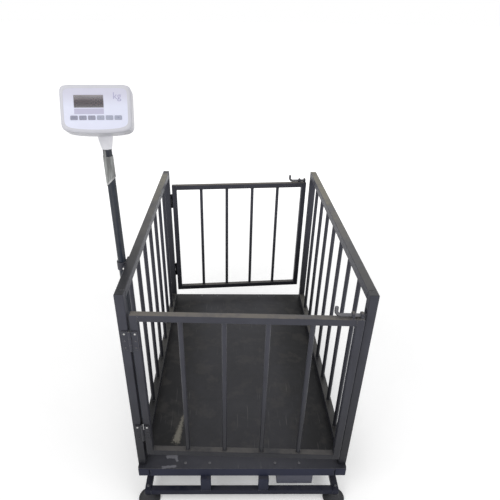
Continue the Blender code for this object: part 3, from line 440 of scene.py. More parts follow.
def settle(obj, name, body, material, slot, *nodes):
    """Names a finished piece, shades it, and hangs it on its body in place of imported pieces."""
    obj.name = name
    obj.data.name = name
    only(obj)
    bpy.ops.object.shade_smooth_by_angle(angle=SMOOTH_ANGLE)
    modified(obj, "WEIGHTED_NORMAL", keep_sharp=True)
    obj.data.materials.clear()
    obj.data.materials.append(material)
    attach(obj, body)
    if nodes:
        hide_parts(*nodes)


def stand_in(obj, node, word, body, material, slot):
    """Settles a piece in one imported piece's place, under its name and a word for how it was made."""
    settle(obj, f"{node}_{word}", body, material, slot, node)


def refinish(node, radius, word, body, material, slot):
    """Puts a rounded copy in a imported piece's place."""
    stand_in(refined(node, radius), node, word, body, material, slot)


def fasten(name, body, head, matrices, tint, roughness):
    """Puts plated heads in their places and settles them as one piece."""
    heads = joined(repeated(head, matrices))
    settle(heads, name, body, plated_steel(tint, roughness), "zinc_steel")


# Finishes


class Value:
    """A socket of a finish's nodes. Arithmetic on it adds Math nodes."""

    def __init__(self, nodes, socket):
        self.nodes = nodes
        self.socket = socket

    def math(self, operation, *values):
        return self.nodes.node("Math", {"operation": operation}, dict(enumerate(values)))

    def __add__(self, other):
        return self.math("ADD", self, other)

    def __sub__(self, other):
        return self.math("SUBTRACT", self, other)

    def __rsub__(self, other):
        return self.math("SUBTRACT", other, self)

    def __mul__(self, other):
        return self.math("MULTIPLY", self, other)

    def __abs__(self):
        return self.math("ABSOLUTE", self)

    __radd__ = __add__
    __rmul__ = __mul__


class Nodes:
    """A tree of shader nodes."""

    def __init__(self, tree):
        self.tree = tree

    def feed(self, socket, value):
        """Links a value to a socket, or sets the socket's own value."""
        if isinstance(value, Value):
            self.tree.links.new(value.socket, socket)
        elif socket.type == "RGBA":
            socket.default_value = (*value, 1.0)
        else:
            socket.default_value = value

    def node(self, kind, settings=None, sockets=None, output=0):
        """Adds a node, sets it up, feeds its sockets and gives one of its outputs."""
        node = self.tree.nodes.new(f"ShaderNode{kind}")
        for name, value in (settings or {}).items():
            setattr(node, name, value)
        for name, value in (sockets or {}).items():
            self.feed(node.inputs[name], value)
        return Value(self, node.outputs[output])

    def between(self, value, low, high):
        """0 up to a low value, 1 from a high one, and smooth between them."""
        sockets = {"Value": value, "From Min": low, "From Max": high}
        return self.node("MapRange", {"interpolation_type": "SMOOTHSTEP"}, sockets)


class Finish(Nodes):
    """A material and the nodes that make it."""

    def __init__(self, name, **constants):
        self.material = bpy.data.materials.new(name)
        self.material.use_nodes = True
        super().__init__(self.material.node_tree)
        self.shader = self.tree.nodes["Principled BSDF"]
        self.place = self.node("TexCoord", output="Object")
        self.normal = self.node("NewGeometry", output="Normal")
        for socket, value in constants.items():
            self.feed(self.shader.inputs[socket.replace("_", " ")], value)

    def noise(self, scale, detail=4.0, stretch=(1, 1, 1)):
        """Noise, finer with a greater scale, from 0 to 1 about a half."""
        place = self.node("Mapping", {}, {"Vector": self.place, "Scale": stretch})
        sockets = {"Vector": place, "Scale": scale, "Detail": detail, "Roughness": 0.6}
        return self.node("TexNoise", {}, sockets)

    def mix(self, share, first, second):
        """One colour over another."""
        return self.node("Mix", {"data_type": "RGBA"}, {0: share, 6: first, 7: second}, 2)

    def shaded(self, tint, amount):
        """A colour times a value."""
        return self.node("VectorMath", {"operation": "SCALE"}, {0: tint, "Scale": amount})

    def along(self, axis, vector=None):
        """The place along an axis, or another vector's part along it."""
        return self.node("SeparateXYZ", {}, {"Vector": vector or self.place}, axis)

    def streak(self, place, reach, turn, taper):
        """1 within a long patch that lies flat, ragged, and slimmer towards its far end."""
        lying = {"Vector": self.place, "Location": place, "Rotation": (0, 0, turn), "Scale": reach}
        shape = self.node("Mapping", {"vector_type": "TEXTURE"}, lying)
        along, across = self.along("X", shape), self.along("Y", shape)
        ragged = self.noise(230.0, 4.0) - 0.5
        outside = abs(across) + 0.5 * taper * (along + 1.0) + 1.6 * ragged
        beyond = abs(along) + 0.8 * ragged
        return (1.0 - self.between(outside, 0.55, 1.15)) * (1.0 - self.between(beyond, 0.80, 1.05))

    def upward(self):
        """1 on what faces up."""
        return self.between(self.along("Z", self.normal), 0.55, 0.95)

    def edge(self, radius):
        """Above 0 near an edge, up to about 0.3 on it."""
        soft = self.node("Bevel", {"samples": 4}, {"Radius": radius}, "Normal")
        pair = {0: soft, 1: self.normal}
        return 1.0 - self.node("VectorMath", {"operation": "DOT_PRODUCT"}, pair, "Value")

    def surface(self, base, roughness, metallic=None, height=None, strength=0.2, depth=0.0004):
        """Feeds the shader what changes over the surface."""
        self.feed(self.shader.inputs["Base Color"], base)
        self.feed(self.shader.inputs["Roughness"], roughness)
        if metallic:
            self.feed(self.shader.inputs["Metallic"], metallic)
        if height:
            sockets = {"Strength": strength, "Distance": depth, "Height": height}
            self.feed(self.shader.inputs["Normal"], self.node("Bump", {}, sockets))
        return self.material


def made_once(**constants):
    """Starts a finish with its shader's constants, and keeps it, so that pieces share it."""

    def wrap(build):
        def give(*settings):
            name = "_".join([build.__name__, *(str(setting) for setting in settings)])
            kept = bpy.data.materials.get(name)
            return kept or build(Finish(name, **constants), colours(), *settings)

        return give

    return wrap


def colours():
    return bpy.context.scene.crate_colours


def sizes():
    return bpy.context.scene.crate_sizes


def painted(finish, tint, dirt, low, high, even=0.0, rising=0.0, front_left_top_shade=0.0):
    """Black paint with painted shade low down, dusty tops, rubbed edges, scratches and an orange-peel
    skin.

    The dust lies evenly, or thickens towards the rear and the right, where it also paints the tops
    lighter; towards the front and the left the tops can also be darkened with painted shade.
    """
    tints = colours()
    broad = finish.noise(6.0, 5.0)
    blotch = finish.noise(38.0, 4.0)
    grain = finish.noise(700.0, 2.0)
    runs = finish.noise(60.0, 3.0, (1.0, 1.0, 0.08))
    # Painted shade: colour, dust and bare edges all get darker towards the bottom, between the heights
    # low and high.
    lit = 0.32 + 0.68 * finish.between(finish.along("Z"), low, high)
    worn = finish.between(finish.edge(0.0025) + 0.55 * blotch, 0.40, 0.62)
    top = finish.upward()
    # Dust and painted light: the tops gather more dust towards the rear and the right, and are painted
    # lighter there; towards the front and the left the last argument darkens them with painted shade.
    rear_right_dust_and_light = finish.between(finish.along("Y") + 0.45 * finish.along("X"), -0.65, 0.62)
    dusty = top * finish.between(broad + 0.4 * blotch, 0.45, 0.85) * lit * (even + rising * rear_right_dust_and_light)
    scuffed = finish.between(runs + 0.3 * broad, 0.82, 0.95)
    paint = finish.shaded(tint, (0.55 + 0.9 * broad) * lit * (1.0 - front_left_top_shade * top * (1.0 - rear_right_dust_and_light)))
    dulled = finish.mix(0.25 * scuffed * lit, paint, tints.dust)
    dusted = finish.mix(0.62 * dusty, dulled, dirt)
    base = finish.mix(0.5 * worn * lit, dusted, tints.bare)
    roughness = 0.30 + 0.22 * blotch + 0.28 * dusty
    return finish.surface(base, roughness, 0.5 * worn, grain + 0.6 * blotch, 0.12, 0.0005)


# The cage's paint, with painted shade on the tops towards the front and the left.
@made_once(Specular_IOR_Level=0.25)
def worn_paint(finish, tints):
    return painted(finish, tints.paint, tints.chalk, low=0.22, high=0.80, rising=1.75, front_left_top_shade=0.75)


# The gates' paint: heavier dust on the tops, which also paints them lighter, most towards the rear.
@made_once(Specular_IOR_Level=0.25)
def gate_paint(finish, tints):
    return painted(finish, tints.paint, tints.dust, low=0.22, high=0.80, even=1.8, rising=1.4)


# The base's and the platform's paint, with painted shade towards the floor.
@made_once(Specular_IOR_Level=0.10)
def low_paint(finish, tints):
    return painted(finish, tints.low_paint, tints.dust, low=-0.06, high=0.18, even=0.35)


@made_once(Specular_IOR_Level=0.2, Coat_Weight=0.12, Coat_Roughness=0.12)
def mast_paint(finish, tints):
    """Glossy black paint with streaks that run down the mast."""
    cloud = finish.noise(30.0, 4.0)
    runs = finish.noise(150.0, 3.0, (1.0, 1.0, 0.03))
    grain = finish.noise(700.0, 2.0)
    streaked = finish.between(runs + 0.25 * cloud, 0.50, 0.78)
    base = finish.mix(0.22 * streaked, finish.shaded(tints.mast, 0.5 + cloud), tints.dust)
    return finish.surface(base, 0.2 + 0.25 * cloud, None, grain + runs, 0.14, 0.0005)


# Marks from the middle of the deck: place, half length, half breadth, turn, taper and colour
DECK_MARKS = (
    # The first mark is a painted streak of sunlight; the others are rubbed marks.
    (-0.258, -0.4225, 0.080, 0.019, 1.445, 0.80, "scrape"),
    (-0.2755, -0.5640, 0.0240, 0.0085, 0.05, 0.0, "rub"),
    (-0.2560, -0.5765, 0.0110, 0.0060, -1.10, 0.3, "rub"),
    (-0.2810, -0.6095, 0.0290, 0.0060, 0.10, 0.0, "rub"),
)


@made_once(Specular_IOR_Level=0.25)
def scuffed_deck(finish, tints):
    """Dark deck steel with painted shade along the side panels, stains, hoof scuffs, long scratches,
    rubbed marks and a painted streak of sunlight.
    """
    low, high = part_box("deck_plate")
    centre = middle("deck_plate")
    broad = finish.noise(4.0, 6.0)
    stains = finish.noise(14.0, 5.0)
    scratches = finish.noise(140.0, 2.0, (1.0, 0.05, 1.0))
    scuffs = finish.noise(55.0, 3.0, (0.2, 1.0, 1.0))
    grain = finish.noise(500.0, 2.0)
    aside = abs(finish.along("X") - centre.x)
    # Painted shade: the deck is darker along the side panels and lighter in its middle.
    side_panel_shade = 1.0 - 0.70 * finish.between(aside + 0.12 * stains, 0.21, 0.36)
    threshold = 1.0 - finish.between(finish.along("Y"), low.y + 0.05, low.y + 0.09)
    stained = finish.between(stains, 0.48, 0.66)
    lined = finish.between(scratches + 0.35 * broad, 0.84, 0.93)
    rubbed = finish.between(finish.edge(0.003) + 0.5 * stains, 0.42, 0.66)
    base = finish.mix(0.10 * stained, finish.shaded(tints.deck, (0.5 + broad) * side_panel_shade), tints.dust)
    base = finish.mix(0.5 * threshold, base, tints.paint)
    base = finish.mix(0.08 * lined, base, tints.bare)
    base = finish.mix(0.35 * rubbed, base, tints.bare)
    for x, y, run, breadth, turn, taper, tint in DECK_MARKS:
        place = (centre.x + x, centre.y + y, high.z)
        mark = finish.streak(place, (run, breadth, 0.05), turn, taper)
        base = finish.mix(0.85 * mark, base, getattr(tints, tint))
    roughness = 0.36 + 0.24 * stains + 0.10 * scuffs
    return finish.surface(base, roughness, 0.25 + 0.4 * rubbed, grain + 0.7 * scuffs, 0.16, 0.0006)


@made_once(Metallic=1.0)
def plated_steel(finish, tints, tint, roughness):
    """Plated steel with a cloudy lustre and darker stains."""
    cloud = finish.noise(60.0, 4.0)
    stains = finish.noise(220.0, 3.0)
    grain = finish.noise(1400.0, 2.0)
    dark = finish.between(stains, 0.50, 0.72)
    metal = finish.shaded(getattr(tints, tint), 0.75 + 0.5 * cloud)
    base = finish.mix(0.45 * dark, metal, tints.stain)
    return finish.surface(base, roughness + 0.25 * stains, None, grain, 0.1, 0.0002)


@made_once(Specular_IOR_Level=0.18)
def foot_rubber(finish, tints):
    """Dusty black rubber with a fine pitted skin."""
    cloud = finish.noise(40.0, 5.0)
    pits = finish.noise(1100.0, 2.0)
    dusty = finish.upward() * finish.between(cloud, 0.35, 0.7)
    base = finish.mix(0.14 * dusty, finish.shaded(tints.rubber, 0.6 + 0.8 * cloud), tints.dust)
    return finish.surface(base, 0.58 + 0.25 * cloud, None, pits, 0.25, 0.0004)


@made_once(Specular_IOR_Level=0.45)
def moulded_plastic(finish, tints, tint, roughness):
    """Moulded plastic with a spark-eroded grain, and faintly soiled."""
    cloud = finish.noise(26.0, 4.0)
    specks = finish.noise(520.0, 2.0)
    grain = finish.noise(2200.0, 2.0)
    soiled = finish.between(cloud + 0.3 * specks, 0.70, 0.95)
    plastic = finish.shaded(getattr(tints, tint), 0.95 + 0.1 * cloud)
    base = finish.mix(0.10 * soiled, plastic, tints.soil)
    return finish.surface(base, roughness + 0.15 * specks, None, grain, 0.12, 0.0002)


@made_once(Specular_IOR_Level=0.45)
def face_print(finish, tints):
    """Printed film with a satin grain, greyed towards its top by painted shade."""
    low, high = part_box("indicator_front_shell")
    cloud = finish.noise(26.0, 4.0)
    grain = finish.noise(2200.0, 2.0)
    # Painted shade: the film gets greyer towards the top of the face.
    upper = finish.between(finish.along("Z") + 0.02 * cloud, low.z + 0.075, high.z - 0.005)
    base = finish.shaded(finish.mix(upper, tints.face, tints.face_top), 0.95 + 0.1 * cloud)
    return finish.surface(base, 0.36 + 0.1 * cloud, None, grain, 0.1, 0.0002)


@made_once(Coat_Weight=0.3, Coat_Roughness=0.15)
def mast_film(finish, tints, tint):
    """Thin film with wrinkles that run along the mast."""
    film = getattr(tints, tint)
    folds = finish.noise(120.0, 3.0, (1.0, 1.0, 0.12))
    cloud = finish.noise(45.0, 4.0)
    base = finish.shaded(film, 0.45 + 0.8 * finish.between(folds, 0.38, 0.66) + 0.3 * cloud)
    return finish.surface(base, 0.22 + 0.2 * cloud, None, folds, 0.35, 0.0006)


@made_once(Alpha=0.48, Coat_Weight=0.4, Coat_Roughness=0.05)
def smoked_window(finish, tints):
    """A smoked pane over the display with a painted sheen at its top and foot, and faint wipe marks."""
    low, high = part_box("display_window")
    rise = high.z - low.z
    wipes = finish.noise(90.0, 3.0, (0.3, 1.0, 1.0))
    level = finish.along("Z") + 0.1 * rise * (wipes - 0.5)
    # Painted reflection: the pane is paler towards its top and its foot.
    top = finish.between(level, low.z + 0.48 * rise, high.z + 0.05 * rise)
    foot = 1.0 - finish.between(level, low.z - 0.05 * rise, low.z + 0.30 * rise)
    pane = finish.mix(top + 0.6 * foot, tints.window, tints.window_edge)
    base = finish.shaded(pane, 0.8 + 0.4 * wipes)
    return finish.surface(base, 0.07 + 0.1 * wipes)


@made_once(Emission_Strength=0.25)
def display_strokes(finish, tints):
    """Red strokes of the display, a little uneven across each digit."""
    cloud = finish.noise(300.0, 2.0)
    glow = finish.shaded(tints.digits, 0.7 + 0.6 * cloud)
    finish.feed(finish.shader.inputs["Emission Color"], glow)
    return finish.surface(glow, 0.4 + 0.1 * cloud)


@made_once()
def circuit_board(finish, tints):
    """Green solder mask with copper tracks under it and tinned pads."""
    tracks = finish.noise(160.0, 0.0, (1.0, 1.0, 0.3))
    pads = finish.noise(420.0, 0.0)
    copper = finish.between(tracks, 0.50, 0.53)
    tinned = finish.between(pads, 0.70, 0.72)
    base = finish.mix(tinned, finish.mix(0.5 * copper, tints.board, tints.track), tints.tin)
    return finish.surface(base, 0.35 + 0.1 * pads, 0.8 * tinned, tracks, 0.2, 0.0002)


@made_once()
def battery_case(finish, tints):
    """Dark battery case with a fine texture and lighter scuffs."""
    cloud = finish.noise(50.0, 4.0)
    grain = finish.noise(1500.0, 2.0)
    scuffed = finish.between(cloud, 0.58, 0.75)
    base = finish.mix(0.3 * scuffed, tints.case, tints.scuff)
    return finish.surface(base, 0.5 + 0.15 * cloud, None, grain, 0.15, 0.0003)


# Pieces

# How far a part reaches into what it is welded to, and how deep a bead's middle lies under a face
WELD_REACH = 0.001
BEAD_DEPTH = 0.0008
PANEL_BARS, GATE_BARS = 7, 4


def barred_frame(width, height, side, bars, holes=()):
    """A welded frame of square tube with upright bars, about the origin in the XZ plane.

    Holes are drilled into the frame's front face, which looks along -Y.
    """
    size = sizes()
    ring = begin("plane", (0, -side / 2, 0), (width, height, 1), (QUARTER, 0, 0), size=1)
    with editing(ring):
        pick_all()
        bpy.ops.mesh.inset(thickness=side)
        bpy.ops.mesh.delete(type="FACE")
    rounded(thickened(ring, 0, side, 0), size.tube_round, segments=3)
    for x, z in holes:
        drill = {"vertices": 28, "radius": size.keeper_hole / 2, "depth": 1.6 * side}
        cut_out(ring, begin("cylinder", (x, -side / 2, z), turn=(QUARTER, 0, 0), **drill))
    clear_width, clear_height = width - 2 * side, height - 2 * side
    reach = clear_height / 2
    pitch = (clear_width + size.bar_diameter) / (bars + 1)
    places = [(k - (bars - 1) / 2) * pitch for k in range(bars)]
    depth = clear_height + 2 * WELD_REACH
    bar = begin("cylinder", vertices=28, radius=size.bar_diameter / 2, depth=depth)
    rounded(bar, 0.0006, angle=60.0)
    bead = weld_ring(size.bar_diameter)
    seam = weld_seam(side - 2 * size.tube_round)
    pieces = [ring]
    pieces += repeated(bar, [at(x, 0, 0) for x in places])
    pieces += repeated(bead, [at(x, 0, z) for x in places for z in (-reach, reach)])
    matrices = []
    for x in (-clear_width / 2, clear_width / 2):
        for end in (-1, 1):
            level = end * (height - side) / 2
            matrices += [at(x, y, level) for y in (-side / 2 + BEAD_DEPTH, side / 2 - BEAD_DEPTH)]
            matrices += [at(x, 0, end * z) @ LYING for z in (height / 2 - BEAD_DEPTH, reach)]
    pieces += repeated(seam, matrices)
    return joined(pieces)


class CRATE_OT_side_panels(Operator):
    """Welds the two barred side panels, and drills the right one's posts for the slide bolts"""

    bl_idname = "crate.side_panels"
    bl_label = "Side Panels"

    def execute(self, context):
        for side in SIDES:
            node = f"side_panel_{side}"
            low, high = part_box(node)
            keepers = [bolt_line(end) - middle(node) for end in ENDS if side == "right"]
            holes = [(-keeper.y, keeper.z) for keeper in keepers]
            panel = barred_frame(high.y - low.y, high.z - low.z, high.x - low.x, PANEL_BARS, holes)
            moved(panel, at(*middle(node)) @ Matrix.Rotation(-QUARTER, 4, "Z"))
            stand_in(panel, node, "welded", "frame", worn_paint(), "black_paint")
        return {"FINISHED"}


def hinge_axis(end):
    return Vector(JOINTS[f"{end}_gate_swing"]["pos_m"])


def outward(end):
    return -1 if end == "front" else 1


def gate_span(end):
    """A shut gate's left end, its right end, its middle line and its lower and upper levels."""
    size = sizes()
    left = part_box("side_panel_left")[1].x + size.gate_gap
    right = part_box("side_panel_right")[0].x - size.gate_gap
    line = hinge_axis(end).y - outward(end) * size.gate_inset
    low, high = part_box(f"{end}_gate")
    return left, right, line, low.z, high.z - size.bolt_rise - size.eye_diameter / 2


def bolt_line(end):
    """The end of a shut gate, at the level of its slide bolt."""
    _left, right, line, _low, top = gate_span(end)
    return Vector((right, line, top + sizes().bolt_rise))


def ajar(end):
    """Turns a shut gate to where it stands at rest."""
    run = JOINTS[f"{end}_gate_bolt_slide"]["axis"]
    axis = hinge_axis(end)
    return at(*axis) @ Matrix.Rotation(math.atan2(run[1], run[0]), 4, "Z") @ at(*-axis)


class CRATE_OT_gates(Operator):
    """Welds the two barred gates with the eyes of their slide bolts"""

    bl_idname = "crate.gates"
    bl_label = "Gates"

    def execute(self, context):
        size = sizes()
        insets, asides = (0.010, 0.037), (-0.0045, 0.0045)
        for end in ENDS:
            node = f"{end}_gate"
            left, right, line, low, top = gate_span(end)
            gate = barred_frame(right - left, top - low, size.gate_tube, GATE_BARS)
            pieces = [moved(gate, at((left + right) / 2, line, (low + top) / 2))]
            places = [bolt_line(end) - inset * X for inset in insets]
            beads = [at(place.x + x, place.y, top) @ LYING for place in places for x in asides]
            pieces += repeated(self.bolt_eye(), [at(*place) for place in places])
            pieces += repeated(weld_seam(run=0.022), beads)
            gate = moved(joined(pieces), ajar(end))
            stand_in(gate, node, "welded", node, gate_paint(), "black_paint")
        return {"FINISHED"}

    def bolt_eye(self):
        """An eye for a slide bolt about the origin, with a web down to the gate's top rail."""
        size = sizes()
        half, breadth, web_top, edge = 0.004, 0.0115, -0.0075, 0.0008
        pipe = {"vertices": 36, "radius": size.eye_diameter / 2, "depth": 2 * half}
        eye = bored(begin("cylinder", turn=(0, QUARTER, 0), **pipe), axis=0, wall=0.0054)
        low = (-half, -breadth, -size.bolt_rise - WELD_REACH)
        return joined([rounded(eye, edge), block(low, (half, breadth, web_top), edge, 2)])


class CRATE_OT_slide_bolts(Operator):
    """Bends the two slide bolts from round bar"""

    bl_idname = "crate.slide_bolts"
    bl_label = "Slide Bolts"

    def execute(self, context):
        size = sizes()
        bend = size.bolt_bend
        run, rise = size.bolt_length - bend, size.bolt_handle - bend
        disc = {"vertices": 24, "radius": size.bolt_diameter / 2, "fill_type": "NGON"}
        for end in ENDS:
            tip = bolt_line(end) - 0.004 * X
            centre = tip + Vector((-run, 0, bend))
            bolt = begin("circle", tip, turn=(0, QUARTER, 0), **disc)
            with editing(bolt):
                pick_all()
                extrude(-run, 0, 0)
                bpy.ops.mesh.spin(steps=9, angle=QUARTER, center=centre, axis=(0, -1, 0))
                extrude(0, 0, rise)
                face_out()
            rounded(bolt, 0.0016, segments=3, angle=60.0)
            moved(bolt, ajar(end))
            body = f"{end}_gate_bolt"
            settle(bolt, f"{end}_slide_bolt", body, plated_steel("dull_zinc", 0.4), "zinc_steel", body)
        return {"FINISHED"}


class CRATE_OT_hinges(Operator):
    """Rounds the hinge leaves and pins, and screws the leaves down"""

    bl_idname = "crate.hinges"
    bl_label = "Hinges"

    def execute(self, context):
        for end in ENDS:
            for level in LEVELS:
                for owner, side in (("post", -1), ("gate", 1)):
                    node = f"{end}_{owner}_hinge_leaf_{level}"
                    body = "frame" if owner == "post" else f"{end}_gate"
                    refinish(node, 0.0004, "rounded", body, worn_paint(), "black_paint")
                    self.screw_down(end, level, owner, side, body)
                pin = f"{end}_hinge_pin_{level}"
                refinish(pin, 0.0005, "turned", "frame", plated_steel("dull_zinc", 0.34), "zinc_steel")
        return {"FINISHED"}

    def screw_down(self, end, level, owner, side, body):
        """Three low screws along a leaf, the top one new."""
        aside, front, head = 0.017, 0.002, (0.0068, 0.0011)
        axis = hinge_axis(end)
        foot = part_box(f"{end}_hinge_pin_{level}")[0].z
        heights = [foot + sizes().leaf_height * share for share in (0.14, 0.5, 0.86)]
        x, y = axis.x + side * aside, axis.y - outward(end) * front
        pose = ajar(end) if owner == "gate" else Matrix()
        matrices = [pose @ at(x, y, z) @ facing(0, outward(end), 0) for z in heights]
        name = f"{end}_{owner}_hinge"
        fasten(f"{name}_new_screw_{level}", body, screw_head(*head), [matrices.pop()], "zinc", 0.34)
        screws = joined(repeated(screw_head(*head), matrices))
        settle(screws, f"{name}_screws_{level}", body, worn_paint(), "black_paint")


class CRATE_OT_deck(Operator):
    """Lays the deck plate and screws it down"""

    bl_idname = "crate.deck"
    bl_label = "Deck"

    def execute(self, context):
        low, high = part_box("deck_plate")
        deck = plate(low, high, axis=2, corner=0.006, segments=4, edge=0.0008)
        stand_in(deck, "deck_plate", "rolled", "frame", scuffed_deck(), "deck_steel")
        inset, sink = 0.0237, 0.0002
        rows = (low.y + inset, high.y - inset)
        columns = [middle("deck_plate").x + x for x in (-0.2195, -0.1264, 0.1264, 0.2195)]
        matrices = [at(x, y, high.z - sink) for y in rows for x in columns]
        head = screw_head(diameter=0.0105, height=0.0028)
        fasten("deck_screws", "frame", head, matrices, "dull_zinc", 0.42)
        return {"FINISHED"}


def inner_face(node):
    """The place along X of the face of a left or right piece that looks at the other side."""
    low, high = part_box(node)
    return high.x if node.endswith("left") else low.x


class CRATE_OT_platform(Operator):
    """Welds the platform's tubes, with the seats of the load cells under them"""

    bl_idname = "crate.platform"
    bl_label = "Platform Rails"

    def execute(self, context):
        size = sizes()
        seam_inset, tube_inset = 0.0010, 0.0395
        beam = [corner.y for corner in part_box("platform_cross_beam")]
        for side in SIDES:
            node = f"platform_side_rail_{side}"
            low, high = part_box(node)
            bottom = high.z - size.platform_tube
            pieces = [block((low.x, low.y, bottom), high, size.tube_round)]
            for end in ENDS:
                cell_low, cell_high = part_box(f"load_cell_{end}_{side}")
                inner = cell_high.y if end == "front" else cell_low.y
                near, far = sorted((inner, inner + outward(end) * size.cell_seat))
                seat_low = (cell_low.x, near, low.z)
                pieces.append(block(seat_low, (cell_high.x, far, bottom + WELD_REACH), 0.001, 2))
            rows = [low.y + seam_inset, low.y + tube_inset, *beam]
            rows += [high.y - tube_inset, high.y - seam_inset]
            seam = weld_seam(size.platform_tube - 2 * size.tube_round)
            level = (high.z + bottom) / 2
            pieces += repeated(seam, [at(inner_face(node), y, level) for y in rows])
            stand_in(joined(pieces), node, "welded", "frame", low_paint(), "black_paint")
        for node in ("platform_front_rail", "platform_cross_beam", "platform_rear_rail"):
            tube = bored(cuboid(*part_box(node)), axis=0, wall=0.0025)
            rounded(tube, size.tube_round, segments=3)
            stand_in(tube, node, "cut", "frame", low_paint(), "black_paint")
        return {"FINISHED"}


class CRATE_OT_base(Operator):
    """Welds the base rails with their overload stops and the feet's nuts"""

    bl_idname = "crate.base"
    bl_label = "Base Rails"

    def execute(self, context):
        size = sizes()
        edge, nut_width, tube_inset = 0.0025, 0.0184, 0.0245
        for side in SIDES:
            node = f"base_side_rail_{side}"
            low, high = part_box(node)
            top = low.z + size.base_tube
            pieces = [block(low, (high.x, high.y, top), edge)]
            studs = [middle(f"foot_stud_{end}_{side}") for end in ENDS]
            nut = hex_head(nut_width, high.z - top)
            pieces += repeated(nut, [at(stud.x, stud.y, top) for stud in studs])
            rows = [low.y + inset for inset in (WELD_REACH, tube_inset)]
            rows += [high.y - inset for inset in (tube_inset, WELD_REACH)]
            level = (low.z + top) / 2
            seam = weld_seam(run=0.020)
            pieces += repeated(seam, [at(inner_face(node), y, level) for y in rows])
            stand_in(joined(pieces), node, "welded", "frame", low_paint(), "black_paint")
        stop_places, stop_half = (-0.142, 0.083), 0.020
        along = Matrix.Rotation(QUARTER, 4, "Y")
        for end in ENDS:
            node = f"base_{end}_rail"
            low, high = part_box(node)
            top = low.z + size.base_tube
            pieces = [block(low, (high.x, high.y, top), edge)]
            near, far = low.y + WELD_REACH, high.y - WELD_REACH
            beads = []
            for place in stop_places:
                x = middle(node).x + place
                stop_low = (x - stop_half, near, top - WELD_REACH)
                pieces.append(block(stop_low, (x + stop_half, far, high.z), edge))
                beads += [at(x, y, top) @ along for y in (near, far)]
            pieces += repeated(weld_seam(run=0.036), beads)
            stand_in(joined(pieces), node, "welded", "frame", low_paint(), "black_paint")
        return {"FINISHED"}


class CRATE_OT_load_cells(Operator):
    """Plates the load cells and bolts them up"""

    bl_idname = "crate.load_cells"
    bl_label = "Load Cells"

    def execute(self, context):
        half_seat, depth, apart, sink = sizes().cell_seat / 2, 0.036, 0.020, 0.0003
        for corner in CORNERS:
            node = f"load_cell_{corner}"
            low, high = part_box(node)
            refinish(node, 0.0006, "plated", "frame", plated_steel("nickel", 0.36), "nickel_steel")
            seat = high.y - half_seat if corner.startswith("front") else low.y + half_seat
            x, z = middle(node).x, high.z - depth + sink
            places = [at(x, y, z) @ facing(0, 0, -1) for y in (seat - apart, seat + apart)]
            head = screw_head(diameter=0.018, height=0.010)
            fasten(f"load_cell_bolts_{corner}", "frame", head, places, "zinc", 0.3)
        return {"FINISHED"}


class CRATE_OT_feet(Operator):
    """Turns the rubber feet and cuts the studs' threads"""

    bl_idname = "crate.feet"
    bl_label = "Feet"

    def execute(self, context):
        bell, stud = self.bell(), self.threaded(0.0059, sizes().stud_pitch)
        zinc = plated_steel("dull_zinc", 0.36)
        for corner in CORNERS:
            for pattern, node, material, slot in (
                (bell, f"foot_pad_{corner}", foot_rubber(), "foot_rubber"),
                (stud, f"foot_stud_{corner}", zinc, "zinc_steel"),
            ):
                centre = middle(node)
                piece = copied(pattern, at(centre.x, centre.y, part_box(node)[0].z))
                stand_in(piece, node, "turned", f"foot_{corner}", material, slot)
        spare(bell)
        spare(stud)
        return {"FINISHED"}

    def bell(self):
        """A rubber bell with a rounded rim, a flared side, a seat for its stud and a hollow sole."""
        low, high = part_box("foot_pad_front_left")
        foot, height = (high.x - low.x) / 2, high.z - low.z
        neck, lip, flare = 0.017, 0.007, height - 0.008
        profile = [(foot - 0.004, 0.0), (foot - 0.001, 0.0), (foot, 0.0012), (foot, 0.0052)]
        profile.append((foot - 0.0009, lip))
        for k in range(9, -1, -1):
            angle = QUARTER * k / 10
            radius = neck + (foot - neck) * (1 - math.cos(angle))
            profile.append((radius, flare - (flare - lip) * math.sin(angle)))
        profile += [(neck, height - 0.0012), (neck - 0.0012, height), (0.0066, height)]
        profile += [(0.0064, height - 0.003), (0.002, height - 0.0035)]
        bell = turned(profile)
        with editing(bell):
            pick("faces", lambda face: face.normal.z < -0.9 and face.calc_center_median().z < 1e-4)
            bpy.ops.mesh.inset(thickness=0.007)
            extrude(0, 0, 0.002)
        return bell

    def threaded(self, radius, pitch):
        """A stud with a ring for each turn of its thread."""
        low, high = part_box("foot_stud_front_left")
        height = high.z - low.z
        root = radius - 0.55 * pitch
        profile = [(root, 0.0)]
        for k in range(int((height - 2 * pitch) / pitch)):
            level = pitch * (k + 1)
            profile += [(radius, level + 0.10 * pitch), (radius, level + 0.22 * pitch)]
            profile.append((root, level + 0.72 * pitch))
        profile += [(root, height - 0.0008), (root - 0.001, height)]
        return turned(profile, 20)


def corner_places(low, high, inset):
    """The places along X and Z near the four corners of an upright face."""
    return [(x, z) for x in (low.x + inset, high.x - inset) for z in (low.z + inset, high.z - inset)]


class CRATE_OT_junction_box(Operator):
    """Finishes the junction box and screws its lid on"""

    bl_idname = "crate.junction_box"
    bl_label = "Junction Box"

    def execute(self, context):
        satin, smooth = moulded_plastic("box", 0.5), moulded_plastic("box", 0.46)
        refinish("junction_box", 0.0004, "moulded", "frame", satin, "grey_plastic")
        low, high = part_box("junction_box_lid")
        lid = plate(low, high, axis=1, corner=0.004, segments=4, edge=0.0007)
        stand_in(lid, "junction_box_lid", "moulded", "frame", smooth, "grey_plastic")
        level = low.y + 0.0008
        matrices = [at(x, level, z) @ facing(0, -1, 0) for x, z in corner_places(low, high, 0.0065)]
        head = screw_head(diameter=0.0066, height=0.0018)
        fasten("junction_box_screws", "frame", head, matrices, "dull_zinc", 0.4)
        return {"FINISHED"}


